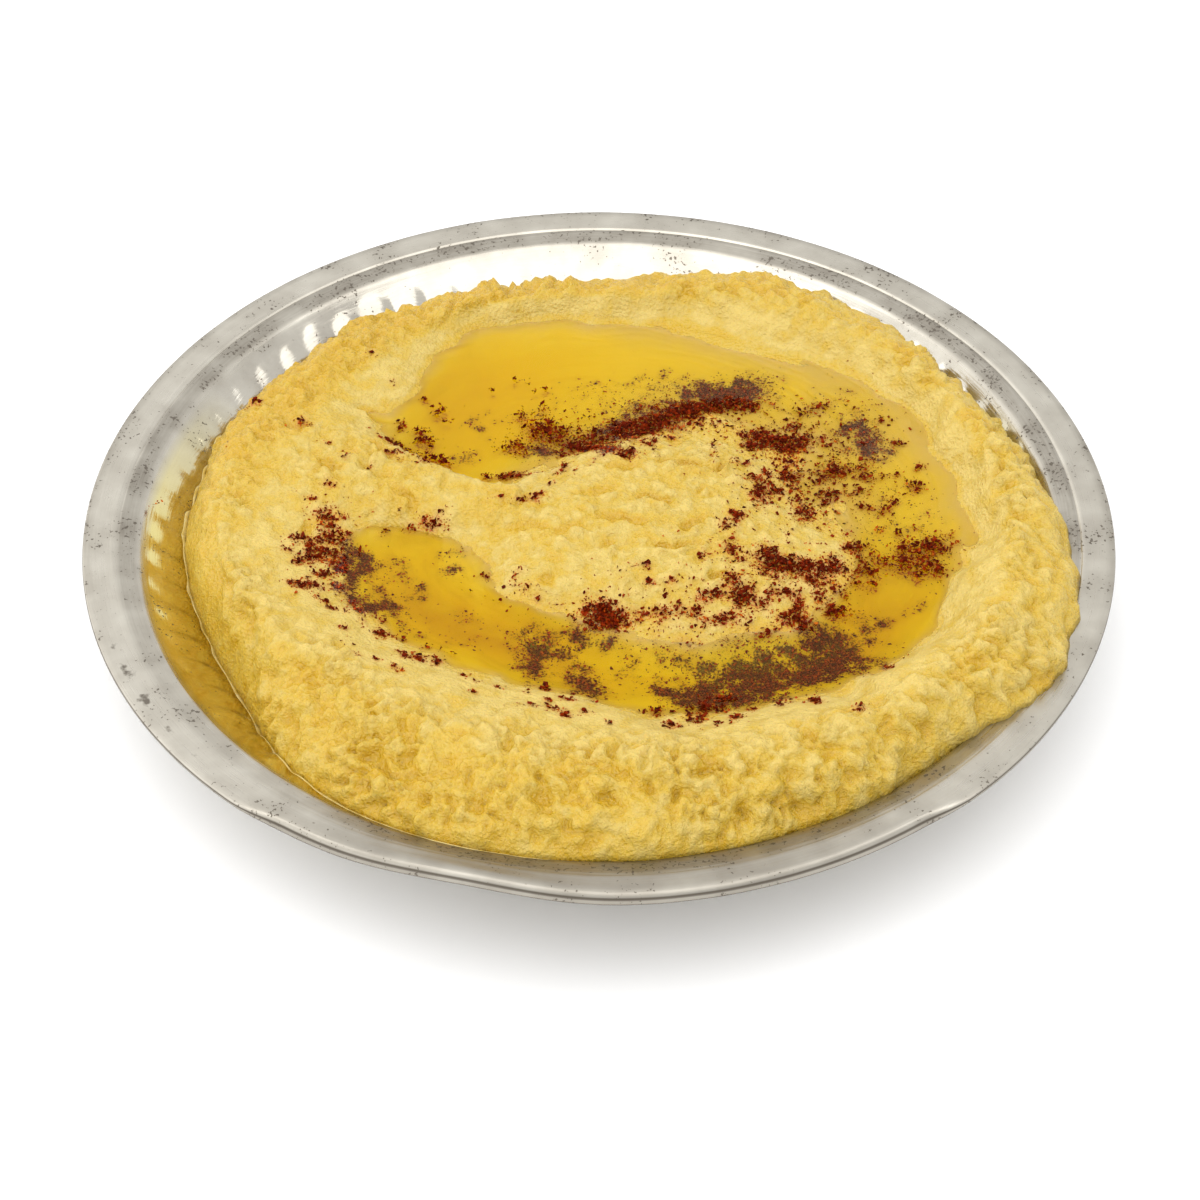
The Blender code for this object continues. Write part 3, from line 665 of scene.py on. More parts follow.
def chickpea_puree():
    """Ground chickpeas and sesame: matt, a little see-through, pale on the lumps, golden between them."""
    material, tree, shader = new_material("chickpea_puree")
    place = add(tree, "ShaderNodeTexCoord").outputs["Object"]
    hollow = add(tree, "ShaderNodeAttribute", {"attribute_name": "hollow"}).outputs["Fac"]
    stained = add(tree, "ShaderNodeAttribute", {"attribute_name": "stained"}).outputs["Fac"]
    sunk = add(tree, "ShaderNodeAttribute", {"attribute_name": "sunk"}).outputs["Fac"]
    wet = add(tree, "ShaderNodeAttribute", {"attribute_name": "wet"}).outputs["Fac"]
    # oil gathers in patches about 4 mm across; the purée has a grain of 0.7 mm
    patches = add(tree, "ShaderNodeTexNoise", {},
                  {"Vector": place, "Scale": 240.0, "Detail": 2.0}).outputs["Fac"]
    grain = add(tree, "ShaderNodeTexNoise", {},
                {"Vector": place, "Scale": 1400.0, "Detail": 2.0}).outputs["Fac"]
    patchy = add(tree, "ShaderNodeMapRange", {}, {"Value": patches, 1: 0.35, 2: 0.70, 3: -0.20, 4: 0.45})
    height = add(tree, "ShaderNodeSeparateXYZ", {}, {0: place}).outputs["Z"]
    # oil has drawn up into the purée for a millimetre above its level
    drawn = add(tree, "ShaderNodeMapRange", {"interpolation_type": "SMOOTHSTEP"},
                {"Value": height, 1: oil_level, 2: oil_level + 0.0013, 3: 0.5, 4: 0.0})
    drawn = add(tree, "ShaderNodeMath", {"operation": "MULTIPLY_ADD"}, {0: drawn, 1: wet, 2: patchy})
    golden = add(tree, "ShaderNodeMath", {"operation": "ADD", "use_clamp": True}, {0: hollow, 1: drawn})
    ramp = add(tree, "ShaderNodeValToRGB", {}, {"Fac": golden})
    ramp.color_ramp.elements[0].color = linear("#c6ac58")
    ramp.color_ramp.elements[1].color = linear("#bc9410")
    ramp.color_ramp.elements.new(0.12).color = linear("#bea34c")
    ramp.color_ramp.elements.new(0.45).color = linear("#bf9e2e")
    colour = ramp.outputs[0]
    freckle = add(tree, "ShaderNodeMapRange", {}, {"Value": grain, 1: 0.3, 2: 0.7, 3: 0.0, 4: 0.22})
    colour = add(tree, "ShaderNodeMix", {"data_type": "RGBA"},
                 {0: freckle, 6: colour, 7: linear("#d4bd78")}).outputs[2]
    # painted light under the oil: the hummus there is painted paler just below its level, then brighter
    # deeper yellow down to 6 mm, standing in for the light that reaches it through the oil
    below = add(tree, "ShaderNodeMapRange", {},
                {"Value": height, 1: oil_level + 0.00001, 2: oil_level - 0.00004, 3: 0.0, 4: 1.0})
    covered_by_oil = add(tree, "ShaderNodeMath", {"operation": "MULTIPLY"}, {0: below, 1: wet})
    depth = add(tree, "ShaderNodeMapRange", {},
                {"Value": height, 1: oil_level, 2: oil_level - 0.006, 3: 0.0, 4: 1.0})
    under = add(tree, "ShaderNodeValToRGB", {}, {"Fac": depth})
    under.color_ramp.elements[0].color = linear("#dcb850")
    under.color_ramp.elements[1].color = linear("#d6a600")
    under.color_ramp.elements.new(0.2).color = linear("#ecc620")
    under.color_ramp.elements.new(0.7).color = linear("#e8be00")
    colour = add(tree, "ShaderNodeMix", {"data_type": "RGBA"},
                 {0: covered_by_oil, 6: colour, 7: under.outputs[0]}).outputs[2]
    # pepper colours and clouds it: a veil of colour, with grains of about half a millimetre in it
    speck = add(tree, "ShaderNodeTexNoise", {},
                {"Vector": place, "Scale": 1700.0, "Detail": 2.0}).outputs["Fac"]
    for share, veil_code, grain_code in ((stained, "#c07018", "#a8480e"), (sunk, "#96200a", "#3e0602")):
        veil = add(tree, "ShaderNodeMath", {"operation": "MULTIPLY"}, {0: share, 1: 0.88})
        grains = add(tree, "ShaderNodeMath", {"operation": "MULTIPLY_ADD"}, {0: share, 1: 0.34, 2: speck})
        blots = add(tree, "ShaderNodeMapRange", {}, {"Value": grains, 1: 0.60, 2: 0.76, 3: 0.0, 4: 1.0})
        sure = add(tree, "ShaderNodeMath", {"operation": "MULTIPLY", "use_clamp": True}, {0: share, 1: 2.5})
        blots = add(tree, "ShaderNodeMath", {"operation": "MULTIPLY"}, {0: blots, 1: sure})
        for amount, code in ((veil, veil_code), (blots, grain_code)):
            colour = add(tree, "ShaderNodeMix", {"data_type": "RGBA"},
                         {0: amount, 6: colour, 7: linear(code)}).outputs[2]
    # the oily patches shine, and so does everything the pool has wetted
    shiny = add(tree, "ShaderNodeMath", {"operation": "MAXIMUM"}, {0: wet, 1: golden})
    rough = add(tree, "ShaderNodeMapRange", {}, {"Value": shiny, 1: 0.0, 2: 0.8, 3: 0.50, 4: 0.20})
    # the oil lies level: whatever is under it looks paler than the wetted surface above its shore
    dry_share = add(tree, "ShaderNodeMath", {"operation": "MULTIPLY_ADD"}, {0: covered_by_oil, 1: -0.7, 2: 0.8})
    bump = add(tree, "ShaderNodeBump", {}, {"Height": grain, "Strength": dry_share, "Distance": 0.0008})
    for socket, value in (("Base Color", colour), ("Roughness", rough.outputs[0]),
                          ("Normal", bump.outputs[0])):
        tree.links.new(value, shader.inputs[socket])
    shader.inputs["Specular IOR Level"].default_value = 0.35
    shader.inputs["Subsurface Weight"].default_value = 0.1
    shader.inputs["Subsurface Radius"].default_value = (1.0, 0.55, 0.15)
    shader.inputs["Subsurface Scale"].default_value = 0.003
    return material


hummus, swirl_points, swirl_triangles = make_hummus()
hummus.data.materials.append(chickpea_puree())
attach(hummus, "root")
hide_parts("hummus")


# ---- The olive oil ----
# Poured into the trough, where it has found one level and joined into a single pool.  The piece
# reaches half a millimetre into the hummus, so no gap shows under it.
oil_reach = 0.0014                   # the pool's piece is cut off where the hummus stands this far above it
oil_sink = 0.0005


def within_crest(spots):
    """Which spots lie inside the crest of the bank."""
    bearing = np.degrees(np.arctan2(spots[:, 1], spots[:, 0]))
    return np.hypot(spots[:, 0], spots[:, 1]) < round_curve(crest_radius, bearing)


def make_oil():
    """The pool: level on top, and following the hummus just inside it underneath."""
    height = swirl_points[:, 2]
    wetted = (height - oil_level < oil_reach) & within_crest(swirl_points)
    faces = [face for face in swirl_triangles if all(wetted[k] for k in face)]

    # only the pool itself: patches that no path of triangles joins to the largest one are dropped
    parent = list(range(len(height)))

    def root(k):
        while parent[k] != k:
            parent[k] = parent[parent[k]]
            k = parent[k]
        return k

    for a, b, c in faces:
        parent[root(a)] = root(b)
        parent[root(b)] = root(c)
    homes = [root(face[0]) for face in faces]
    sizes = {}
    for home in homes:
        sizes[home] = sizes.get(home, 0) + 1
    largest = max(sizes, key=sizes.get)
    faces = [face for face, home in zip(faces, homes) if home == largest]

    used = sorted({k for face in faces for k in face})
    number = {k: i for i, k in enumerate(used)}
    count = len(used)
    upper = np.column_stack([swirl_points[used, :2], np.full(count, oil_level)])
    lower = np.column_stack([swirl_points[used, :2], np.minimum(height[used], oil_level) - oil_sink])
    above = [tuple(number[k] for k in face) for face in faces]
    below = [(c + count, b + count, a + count) for a, b, c in above]
    sides = {}
    for a, b, c in above:
        for p, q in ((a, b), (b, c), (c, a)):
            if sides.pop((q, p), None) is None:
                sides[p, q] = True
    walls = [(q, p, p + count, q + count) for p, q in sides]
    mesh = bpy.data.meshes.new("olive_oil_pool")
    mesh.from_pydata(np.vstack([upper, lower]).tolist(), [], above + below + walls)
    mesh.update()
    mesh.shade_smooth()
    return placed("oil_pool", mesh)


def olive_oil():
    """Pressed olive oil: clear, with the refraction of oil, and deep yellow where it is deep."""
    material, tree, shader = new_material("olive_oil")
    shader.inputs["Base Color"].default_value = (1.0, 1.0, 1.0, 1.0)
    shader.inputs["Roughness"].default_value = 0.02
    shader.inputs["IOR"].default_value = 1.47
    shader.inputs["Transmission Weight"].default_value = 1.0
    shader.inputs["Specular Tint"].default_value = (1.0, 0.45, 0.05, 1.0)
    depth = add(tree, "ShaderNodeVolumeAbsorption")
    depth.inputs["Color"].default_value = (0.992, 0.974, 0.0, 1.0)
    depth.inputs["Density"].default_value = 400.0
    tree.links.new(depth.outputs[0], tree.nodes["Material Output"].inputs["Volume"])
    return material


oil = make_oil()
oil.data.materials.append(olive_oil())
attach(oil, "root")
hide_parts("olive_oil")


# ---- The seep ----
# Oil and loosened purée that have run out on the left and lie in a thin wedge against the wall.
seep_from, seep_to, seep_fade = 150, 268, 12
seep_width, seep_depth, seep_steps = 0.0005, 0.00016, 900
# its section, in widths out from the hummus and depths up from the metal
seep_section = ((1.0, 0.0), (0.7, 0.28), (0.3, 0.75), (-0.5, 1.0), (-0.5, -0.1), (0.5, -0.1))


def make_seep():
    """A thin wedge along the left edge of the hummus, lying on the metal."""
    bare = BVHTree.FromObject(dish, bpy.context.evaluated_depsgraph_get())
    angle = np.linspace(seep_from, seep_to, seep_steps)
    turn = toward(angle)
    ends = smoothstep(0, seep_fade, angle - seep_from) * smoothstep(0, seep_fade, seep_to - angle)
    width = seep_width * ends * (0.75 + 1.1 * unevenness(turn * 0.09, 0.005, 21)) + 0.00005
    contact = ragged_edge(angle)
    rows = []
    for out, lift in seep_section:
        radius = contact + out * width
        spots = (radius[:, None] * turn).tolist()
        metal = np.array([bare.ray_cast((x, y, 0.1), (0, 0, -1))[0].z for x, y in spots])
        rows.append(np.column_stack([spots, metal + lift * seep_depth * ends + 0.00002]))
    count = len(rows)
    points = np.stack(rows, 1).reshape(-1, 3)
    faces = []
    for k in range(seep_steps - 1):
        for m in range(count):
            n = (m + 1) % count
            faces.append((k * count + m, k * count + n, (k + 1) * count + n, (k + 1) * count + m))
    faces.append(tuple(range(count))[::-1])
    faces.append(tuple((seep_steps - 1) * count + m for m in range(count)))
    mesh = bpy.data.meshes.new("oil_seep")
    mesh.from_pydata(points.tolist(), [], faces)
    shell = bmesh.new()
    shell.from_mesh(mesh)
    bmesh.ops.recalc_face_normals(shell, faces=shell.faces)
    shell.to_mesh(mesh)
    shell.free()
    mesh.shade_smooth()
    return placed("oil_seep", mesh)


def loosened_puree():
    """Oil thickened with a little purée: golden, wet and smooth, with paler streaks about 2 mm long; its
    pale cream colour is partly a painted highlight along the wet edge.
    """
    material, tree, shader = new_material("loosened_puree")
    place = add(tree, "ShaderNodeTexCoord").outputs["Object"]
    streaks = add(tree, "ShaderNodeTexNoise", {},
                  {"Vector": place, "Scale": 500.0, "Detail": 2.0}).outputs["Fac"]
    share = add(tree, "ShaderNodeMapRange", {}, {"Value": streaks, 1: 0.35, 2: 0.65, 3: 0.0, 4: 1.0})
    # painted highlight: the pale cream colour partly stands in for the highlight along the seep's wet edge
    colour = add(tree, "ShaderNodeMix", {"data_type": "RGBA"},
                 {0: share, 6: linear("#c4a850"), 7: linear("#d2bf80")})
    tree.links.new(colour.outputs[2], shader.inputs["Base Color"])
    shader.inputs["Roughness"].default_value = 0.15
    return material


seep = make_seep()
seep.data.materials.append(loosened_puree())
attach(seep, "root")


# ---- The red pepper ----
# Coarsely ground dried red pepper, pinched over the dish by hand.  It lies on the hummus and floats
# on the oil as dark flakes of skin, orange crumbs of flesh and dust, and a part of it has sunk.
# Pinches: x and y of the middle, half length and half width in millimetres, how thickly it fell
# (1 covers the hummus), and the turn in degrees where it lies askew.
dry_pinches = [
    # behind the mound, along the far pool
    (25, 38, 8, 1.8, 0.9, 5), (33, 38, 3, 1.5, 0.5), (13, 33, 5, 2, 0.85, 20), (19, 36, 4, 2, 0.8, 10),
    (9, 30, 6, 2.2, 0.8, 8), (-11, 29.5, 4, 2.4, 0.9, -10), (-2, 27, 6, 2, 0.45),
    (-3, 23.5, 5, 1, 0.9, -12), (-18, 24, 2.5, 2, 0.6), (-18.5, 14.5, 2.8, 0.8, 1, 5),
    (-24, 14.2, 1, 0.7, 0.6), (6, 17, 2.2, 1.6, 0.9), (11, 24, 1.5, 3, 0.35), (-8, 13, 2, 2.4, 0.35),
    (-8, 21.5, 1.8, 1, 0.5), (25, 31, 4.5, 2, 0.25), (16, 27, 1.2, 0.8, 0.5), (-12.5, 37, 1.2, 2, 0.4),
    (-17, 35, 1, 1.5, 0.5),
    # right of the mound, on the thin oil
    (37.5, 26.5, 4, 2.2, 1, -25), (42, 24.5, 2.6, 2.4, 0.95), (34, 24, 2.2, 1.6, 0.6),
    (46, 27, 2, 1.2, 0.5, 20), (32, 28.5, 1.4, 1, 0.5), (43, 30.5, 3, 1.2, 0.3),
    (41.5, 14, 1.8, 2.6, 0.85), (40, 18.5, 2, 1.4, 0.4), (32, 16, 1.6, 1, 0.4),
    (33, 10.8, 2, 0.8, 0.6, 10), (36.5, 13, 1.2, 1.4, 0.5), (51.5, 16, 2.2, 1.6, 0.8),
    (48, 13.5, 2.6, 1.8, 0.35, 20), (34.5, 5, 1.8, 3.2, 0.75), (38, 8, 1.8, 1.6, 0.7),
    (35, 9.5, 1.2, 1, 0.5), (44.5, 1.8, 2, 1.5, 1, 30), (42.5, 5, 1.3, 2.4, 0.35), (50, 8.6, 2.4, 1, 0.7),
    (56, 9, 2.4, 1, 0.35, 20), (52, 21, 2.4, 3, 0.2), (50, 26, 3, 2, 0.25), (56, 17, 3, 1.4, 0.4, 10),
    (58, 14, 1, 1, 0.8), (62, 14.3, 1, 0.7, 0.7), (65, 15, 0.7, 0.7, 0.7),
    (68.3, 11.3, 1.8, 1.4, 0.7, -30), (70, 17, 1, 1.5, 0.4), (63, 6.5, 2.6, 2.2, 0.25, 30),
    (61.5, 3.5, 1, 1, 0.6), (57, 4, 3.4, 1, 0.3, -30), (48.5, 5.5, 0.7, 0.7, 0.9),
    (66, 25.5, 1.5, 1, 0.6), (25.5, 21.5, 1.2, 3.4, 0.3), (30, 17, 1.2, 1.2, 0.3),
    (61, 20, 2.4, 2.4, 0.15), (45, 36, 4, 2, 0.15), (49.5, 37.5, 2, 1.6, 0.35), (59, 37.5, 1.2, 0.8, 0.3),
    (64, 33, 2.5, 2, 0.15),
    # the right front
    (29.5, -3.2, 1.5, 1.1, 1, 20), (27, -6.5, 1.6, 1.8, 0.5), (28, -14, 1.7, 2.6, 0.6, 30),
    (22, -15.8, 1.1, 1, 0.5), (43, -17, 7, 2, 1, 2), (36, -15.5, 2.6, 2.2, 0.9, -30),
    (35, -13, 1.8, 1.2, 0.4), (50, -14.5, 1.8, 1.8, 0.55), (40, -8, 1.2, 2.2, 0.3),
    (36, -20, 3, 1.4, 0.45), (46, -20.5, 3, 1.4, 0.5), (30, -26.5, 2, 2.8, 1), (28, -21.5, 1.2, 1.4, 0.6),
    (23, -27, 2.2, 1.1, 0.95, 15), (26.5, -24.5, 1, 1.4, 0.3), (36, -25.5, 1.5, 1.1, 0.95, 10),
    (39, -24.5, 0.8, 0.8, 1), (34, -28, 1.6, 1.4, 0.4), (41.5, -27.5, 1.3, 3.2, 0.75),
    (25.5, -32.3, 2.6, 0.9, 1, 10), (20, -31, 2, 1.4, 0.6, 15), (11, -29.8, 2.2, 0.8, 0.6),
    (14, -31.2, 1.5, 0.9, 0.7), (16, -29.5, 1.2, 0.8, 0.5), (9, -31.5, 0.9, 1.3, 0.5),
    (1.8, -30.8, 3.2, 1.7, 1.7, -20), (-2, -29, 1.6, 0.8, 0.6), (1, -33, 5, 1.6, 0.35),
    (14, -34, 7, 1.4, 0.12), (27, -35, 4, 1.6, 0.12, -20), (-4, -31, 3, 1.6, 0.2),
    (15, -23.5, 0.7, 0.6, 0.9), (11, -23.5, 1, 0.7, 0.7), (10, -19, 0.6, 1.4, 0.5),
    (6, -20, 1.6, 0.7, 0.3, 20), (-2.5, -26, 0.7, 0.6, 0.9), (40, -31.5, 2.6, 1.6, 0.9),
    (43, -33, 1.4, 1, 0.7), (49, -28.5, 2.2, 1.6, 0.9, -10), (46, -24, 1.6, 2, 0.5),
    (35, -35, 3, 1.6, 0.3), (51, -24, 3, 3, 0.2),
    # out to the right bank
    (54.5, -9, 2, 1.5, 0.8), (60, -3, 1, 1.6, 0.35), (52, -4, 2.5, 2, 0.15), (68, -2, 0.8, 1, 0.35),
    (64, -4, 0.6, 0.6, 0.7), (71, -8.5, 3.2, 2.4, 0.95, 10), (64.5, -8.8, 1.8, 1.5, 0.7),
    (64, -13.5, 1.6, 2.2, 0.8), (68.5, -13, 2.2, 2.6, 0.6), (71.5, -16, 1.6, 1.8, 0.55),
    (67.5, -17.5, 1.8, 0.8, 0.5), (57, -13, 2.4, 2.6, 0.4), (57, -16.5, 1.8, 1.2, 0.75),
    (60.5, -13, 1.4, 1.8, 0.3), (54, -20, 1, 0.9, 0.5), (57, -20, 1.2, 0.4, 0.8),
    # along the front bank
    (25, -54, 2.5, 1, 0.6, 10), (22, -57, 3, 1, 0.7), (19.5, -61, 1.5, 1.5, 0.9),
    (14, -63, 1.5, 1.1, 0.7), (27.5, -61.5, 1.2, 1.2, 0.8), (11, -57.5, 2, 1, 0.5),
    (31, -57.5, 0.8, 0.9, 0.7), (36.5, -57.5, 0.7, 0.8, 0.7), (43.5, -56, 0.9, 1.6, 0.7),
    (38.5, -55, 0.8, 0.8, 0.4), (59.5, -47, 0.7, 1.6, 0.35), (51.5, -66, 1, 1, 0.8),
    (24.5, -65, 3, 1.2, 0.2), (-9, -61.5, 1.5, 1, 0.7, -20), (-6.5, -64, 0.9, 1.2, 0.8),
    (-14.5, -61.5, 1.6, 1, 0.3), (-2.8, -62.5, 0.8, 1.1, 0.6), (2, -66, 0.7, 0.8, 0.5),
    (-6, -57, 1, 0.9, 0.7), (-10.3, -57.5, 0.6, 0.7, 0.8), (-14.7, -54.7, 0.6, 0.6, 0.9),
    (-20, -53, 0.6, 0.6, 0.9), (-25, -51.5, 0.7, 0.6, 0.6), (-27, -48.5, 0.9, 0.7, 0.7),
    (-25.3, -56, 0.6, 0.5, 0.6), (-11, -51.5, 0.8, 0.9, 0.6), (-7.5, -55.5, 0.5, 0.5, 0.6),
    # the left front shore and the left bank
    (-33.2, -43.8, 0.9, 1.4, 0.95), (-36.5, -44, 0.9, 1.3, 0.95), (-39.5, -44, 1, 1.4, 0.75),
    (-41, -42.2, 0.6, 0.7, 0.7), (-35, -39.2, 1.4, 0.5, 0.5), (-30, -41, 1.2, 0.6, 0.3),
    (-40.6, -50.3, 1.2, 0.6, 0.9, -30), (-45.3, -47.6, 0.8, 0.7, 0.6), (-48.8, -47, 0.5, 0.6, 0.6),
    (-45.2, -36, 1.6, 0.7, 1, -8), (-42.3, -36.3, 1.8, 0.6, 0.3), (-45.2, -31.5, 0.9, 1, 0.6),
    (-40, -36.7, 0.5, 0.5, 0.8), (-52.5, -36.5, 0.5, 0.7, 0.9), (-49, -33.5, 0.4, 0.7, 0.6),
    (-51, -42, 1.2, 1, 0.2), (-55, -29.8, 1.2, 0.4, 0.8, -10), (-52.3, -30.8, 0.4, 0.4, 0.7),
    (-58, -27, 0.8, 1.2, 0.7, 40), (-61, -23, 2.2, 1.4, 0.95, 20), (-64, -22.5, 1.2, 1.2, 0.5),
    (-58, -18.5, 1.6, 0.8, 0.7, 20), (-60, -12.5, 2, 2, 0.95), (-56.5, -12, 1.6, 1.8, 0.7),
    (-62, -15, 1.6, 1.2, 0.5), (-57, -6, 2.2, 2.2, 0.6), (-60.3, -8.5, 1.4, 1.4, 0.7),
    (-64, -8.3, 1.5, 0.9, 0.6, 10), (-58.6, -1, 1.9, 1.5, 1), (-55, -0.8, 1, 0.6, 0.8),
    (-54, -4.6, 0.8, 0.6, 0.7), (-66, -12.3, 1.4, 0.5, 0.6, -30), (-63.5, -15.5, 0.6, 0.4, 0.6),
    (-58, 7, 1.2, 0.8, 0.6, 20), (-62.5, 3.4, 1.5, 0.5, 0.7, -15), (-65, 5.8, 0.4, 0.3, 0.6),
    (-55, 15.5, 0.7, 0.9, 0.5), (-49.3, 11.5, 0.7, 0.5, 0.5, -30), (-59.5, 20.8, 1.2, 0.5, 0.4),
    (-65, 28, 1.8, 1.1, 0.5, -15), (-36.2, -2.6, 2, 0.7, 1, -18), (-40, -3.2, 1.6, 0.6, 0.5),
    (-33, -1.2, 1, 0.5, 0.5, 15), (-43, 0.4, 0.8, 0.5, 0.4, 10), (-46, -3.7, 0.8, 0.5, 0.6),
    (-46, -5.4, 0.6, 0.4, 0.6),
    # the saddle and the far left
    (-46, 25, 2.2, 1, 0.85, -30), (-43, 23, 2.4, 1.1, 0.7, -35), (-38, 26.3, 2, 1.4, 0.75, 20),
    (-37, 21, 2.4, 0.9, 0.7, -20), (-33.5, 19, 1.3, 0.9, 0.6, -20), (-44, 17, 1.8, 1.6, 0.35),
    (-38, 15, 2.4, 1.4, 0.35, -40), (-39.5, 29.5, 1.6, 0.8, 0.7), (-43.8, 31.5, 1.1, 1.1, 0.7),
    (-36, 37, 1.6, 1.3, 0.5, -50), (-34, 33, 0.9, 0.7, 0.5), (-39.3, 40.6, 0.7, 0.5, 0.9),
    (-46.3, 44.5, 0.4, 0.6, 0.9), (-51.5, 51.5, 0.9, 0.8, 0.4, 30), (-19, 47.5, 0.8, 0.5, 0.8),
    (-14.4, 43.2, 0.4, 0.4, 0.9), (-12, 44.1, 0.5, 0.5, 1), (-16.5, 46.5, 0.6, 1.2, 0.3, 30),
    (-24, 44, 0.5, 0.4, 0.5), (-16.5, 1.6, 1.2, 0.6, 0.7, 10), (-13.3, 2.5, 1.1, 0.9, 0.8, 40),
    (-21, 2, 0.9, 0.3, 0.5), (-25, 1.2, 0.6, 0.3, 0.5), (-10.5, 8, 0.6, 0.9, 0.6),
    (-24, -17.6, 0.8, 0.5, 0.8, -30), (-17.5, -18.8, 1.4, 0.9, 0.25), (-15, -23, 1.2, 0.8, 0.3, -10),
    (-94.9, 5.9, 1.5, 0.6, 0.45, 60), (-76.7, 37.5, 1, 0.8, 0.8), (-81, 22, 0.6, 0.5, 0.3),
    (43, 15, 12, 15, 0.09), (52, 12, 10, 10, 0.07), (44, 33, 14, 4, 0.07), (26, -24, 16, 4, 0.08, 8),
    (16, 38, 12, 4, 0.1, 10), (-6, 33, 10, 6, 0.06), (-14, -25, 12, 3, 0.07, -15), (-58, -8, 6, 8, 0.08),
    (-12.5, -25.6, 1, 0.8, 0.4), (-8.3, -27.4, 0.9, 0.4, 0.5, -15), (-19, -21.5, 2, 0.9, 0.12, -20),
]
sunk_pinches = [
    (24, 43.5, 3.6, 2.6, 1, -10), (33, 44.5, 3.8, 3.2, 1, 10), (28.5, 42.5, 4, 2, 0.9),
    (6, 34, 4, 1.8, 0.6, 25), (5, 29, 4.5, 2.4, 0.6), (-13, 23, 2, 2.4, 0.8),
    (-4, 24.5, 4, 1.2, 0.7, -10), (1.5, 21, 2, 2.6, 0.9, -20), (16, 38, 4, 2, 0.6, 10),
    (58.5, 27.5, 2.4, 4.2, 0.85, 10), (55, 30, 2.4, 1.4, 0.5, 20), (62.5, 24, 2, 3, 0.4),
    (6, 46, 9, 3, 0.1), (13, 45.5, 3, 2.6, 0.25), (-27, 34, 2.2, 1.8, 0.35, -50),
    (-29, 22.5, 1.6, 1.8, 0.4), (-17, 36, 3.5, 2, 0.2), (4, 39, 7, 2.5, 0.14), (53, 37, 6, 4, 0.08),
    (-53.5, -7.5, 1.3, 1.6, 0.6), (-51, -13, 2.8, 2.6, 1.1, -20), (-53.5, -16.5, 1.8, 3, 1),
    (-50, -26.5, 1.6, 1.8, 0.85, -30), (-46, -25.5, 2.6, 1.2, 0.7, 10), (-43.5, -27.3, 2.4, 1.3, 0.75),
    (-52, -22, 3, 2, 0.35), (-46, -22, 5, 3, 0.15), (-31.3, -14.8, 1.6, 1, 0.7),
    (-32, -10.2, 2.2, 1, 0.35), (-42, -10.5, 1.2, 0.9, 0.35), (-42.5, -14.5, 1.6, 1.5, 0.2),
    (-38.5, -19, 1.6, 1, 0.35), (-27.5, -27, 1.6, 1.5, 0.3), (-37, -21.5, 2, 1, 0.2),
    (-15.5, -34, 2.4, 2, 0.5), (-11.5, -36.5, 2.4, 2.6, 0.6), (-14, -42, 2.2, 4, 0.6, 10),
    (-7, -38, 2.2, 1.8, 0.5), (-3.5, -35, 2.6, 1.8, 0.6), (-4, -45.5, 1.9, 3, 0.8, 20),
    (-1.5, -51.5, 2.2, 2.6, 0.7, 10), (2.4, -37.5, 1.8, 1.2, 0.6), (6.5, -41.5, 1.1, 1, 0.5),
    (14.5, -42, 1.8, 1.4, 0.35), (11.5, -50.3, 1.2, 0.8, 0.7), (13.5, -53, 0.9, 0.6, 0.5),
    (46.5, -35.5, 3.4, 2.6, 0.8, -30), (50.5, -41, 3.6, 2.8, 1, -30), (45.5, -45, 4.2, 2.4, 1, 10),
    (36, -48, 5.5, 2, 1, 5), (27, -50.5, 5.5, 2.2, 1, 8), (19, -52.5, 3.6, 2.2, 0.95),
    (34, -43.5, 8, 3.2, 0.55, 5), (24, -45.5, 5, 2.2, 0.5, 10), (42, -39.5, 5, 2.4, 0.6),
    (31, -53.5, 6.5, 1.2, 0.8, 4), (24.5, -55, 4, 1.2, 0.8, 5), (33, -38.5, 5, 1.6, 0.25),
    (56, -29, 1.8, 1.6, 0.4), (60, -29, 1.4, 0.9, 0.4), (66, -26, 2, 1, 0.45, 30),
    (55, -34, 2.6, 2, 0.35), (57.5, -42, 1.4, 1, 0.45, 15), (58.5, -45, 0.8, 1.8, 0.45, 10),
    (69, -23, 1.2, 0.8, 0.3), (62, -40, 2, 3, 0.06), (62, 0, 7, 9, 0.09), (20, -38, 9, 2, 0.12),
    (8, -46, 5, 3, 0.12), (-30, -33, 8, 4, 0.05, -20), (-40, -33, 5, 1.6, 0.12, -20),
]
random = np.random.default_rng(41)
surface = BVHTree.FromPolygons(swirl_points.tolist(), swirl_triangles)


def fallen(pinches, per_square, size_from, size_to, spread=1.0, clump=0.35, thin=1.3):
    """Where the bits of a kind of pepper fall: x, y and size of each, in metres.

    per_square bits fall on a square millimetre, from size_from to size_to millimetres across, mostly
    small.  A clump share of them lies in little heaps, and thin says how fast a thin pinch empties.
    """
    bits = []
    for x, y, half, wide, thick, *askew in pinches:
        turn = math.radians(sum(askew))
        count = random.poisson(per_square * thick ** thin * math.pi * half * wide)
        middles = random.normal(size=(max(1, count // 6), 2))
        chosen = middles[random.integers(len(middles), size=count)]
        loose = random.normal(size=(count, 2))
        fall = 0.62 * spread * np.where(random.random((count, 1)) < clump, chosen + 0.25 * loose, loose)
        along, across = fall[:, 0] * half, fall[:, 1] * wide
        c, s = math.cos(turn), math.sin(turn)
        size = size_from * (size_to / size_from) ** random.beta(1.3, 2.2, count)
        bits.append(np.column_stack([x + c * along - s * across, y + s * along + c * across, size]) / 1000)
    return np.vstack(bits)


lying = 0.10                         # the middle of a bit lies this share of its size over what it lies on


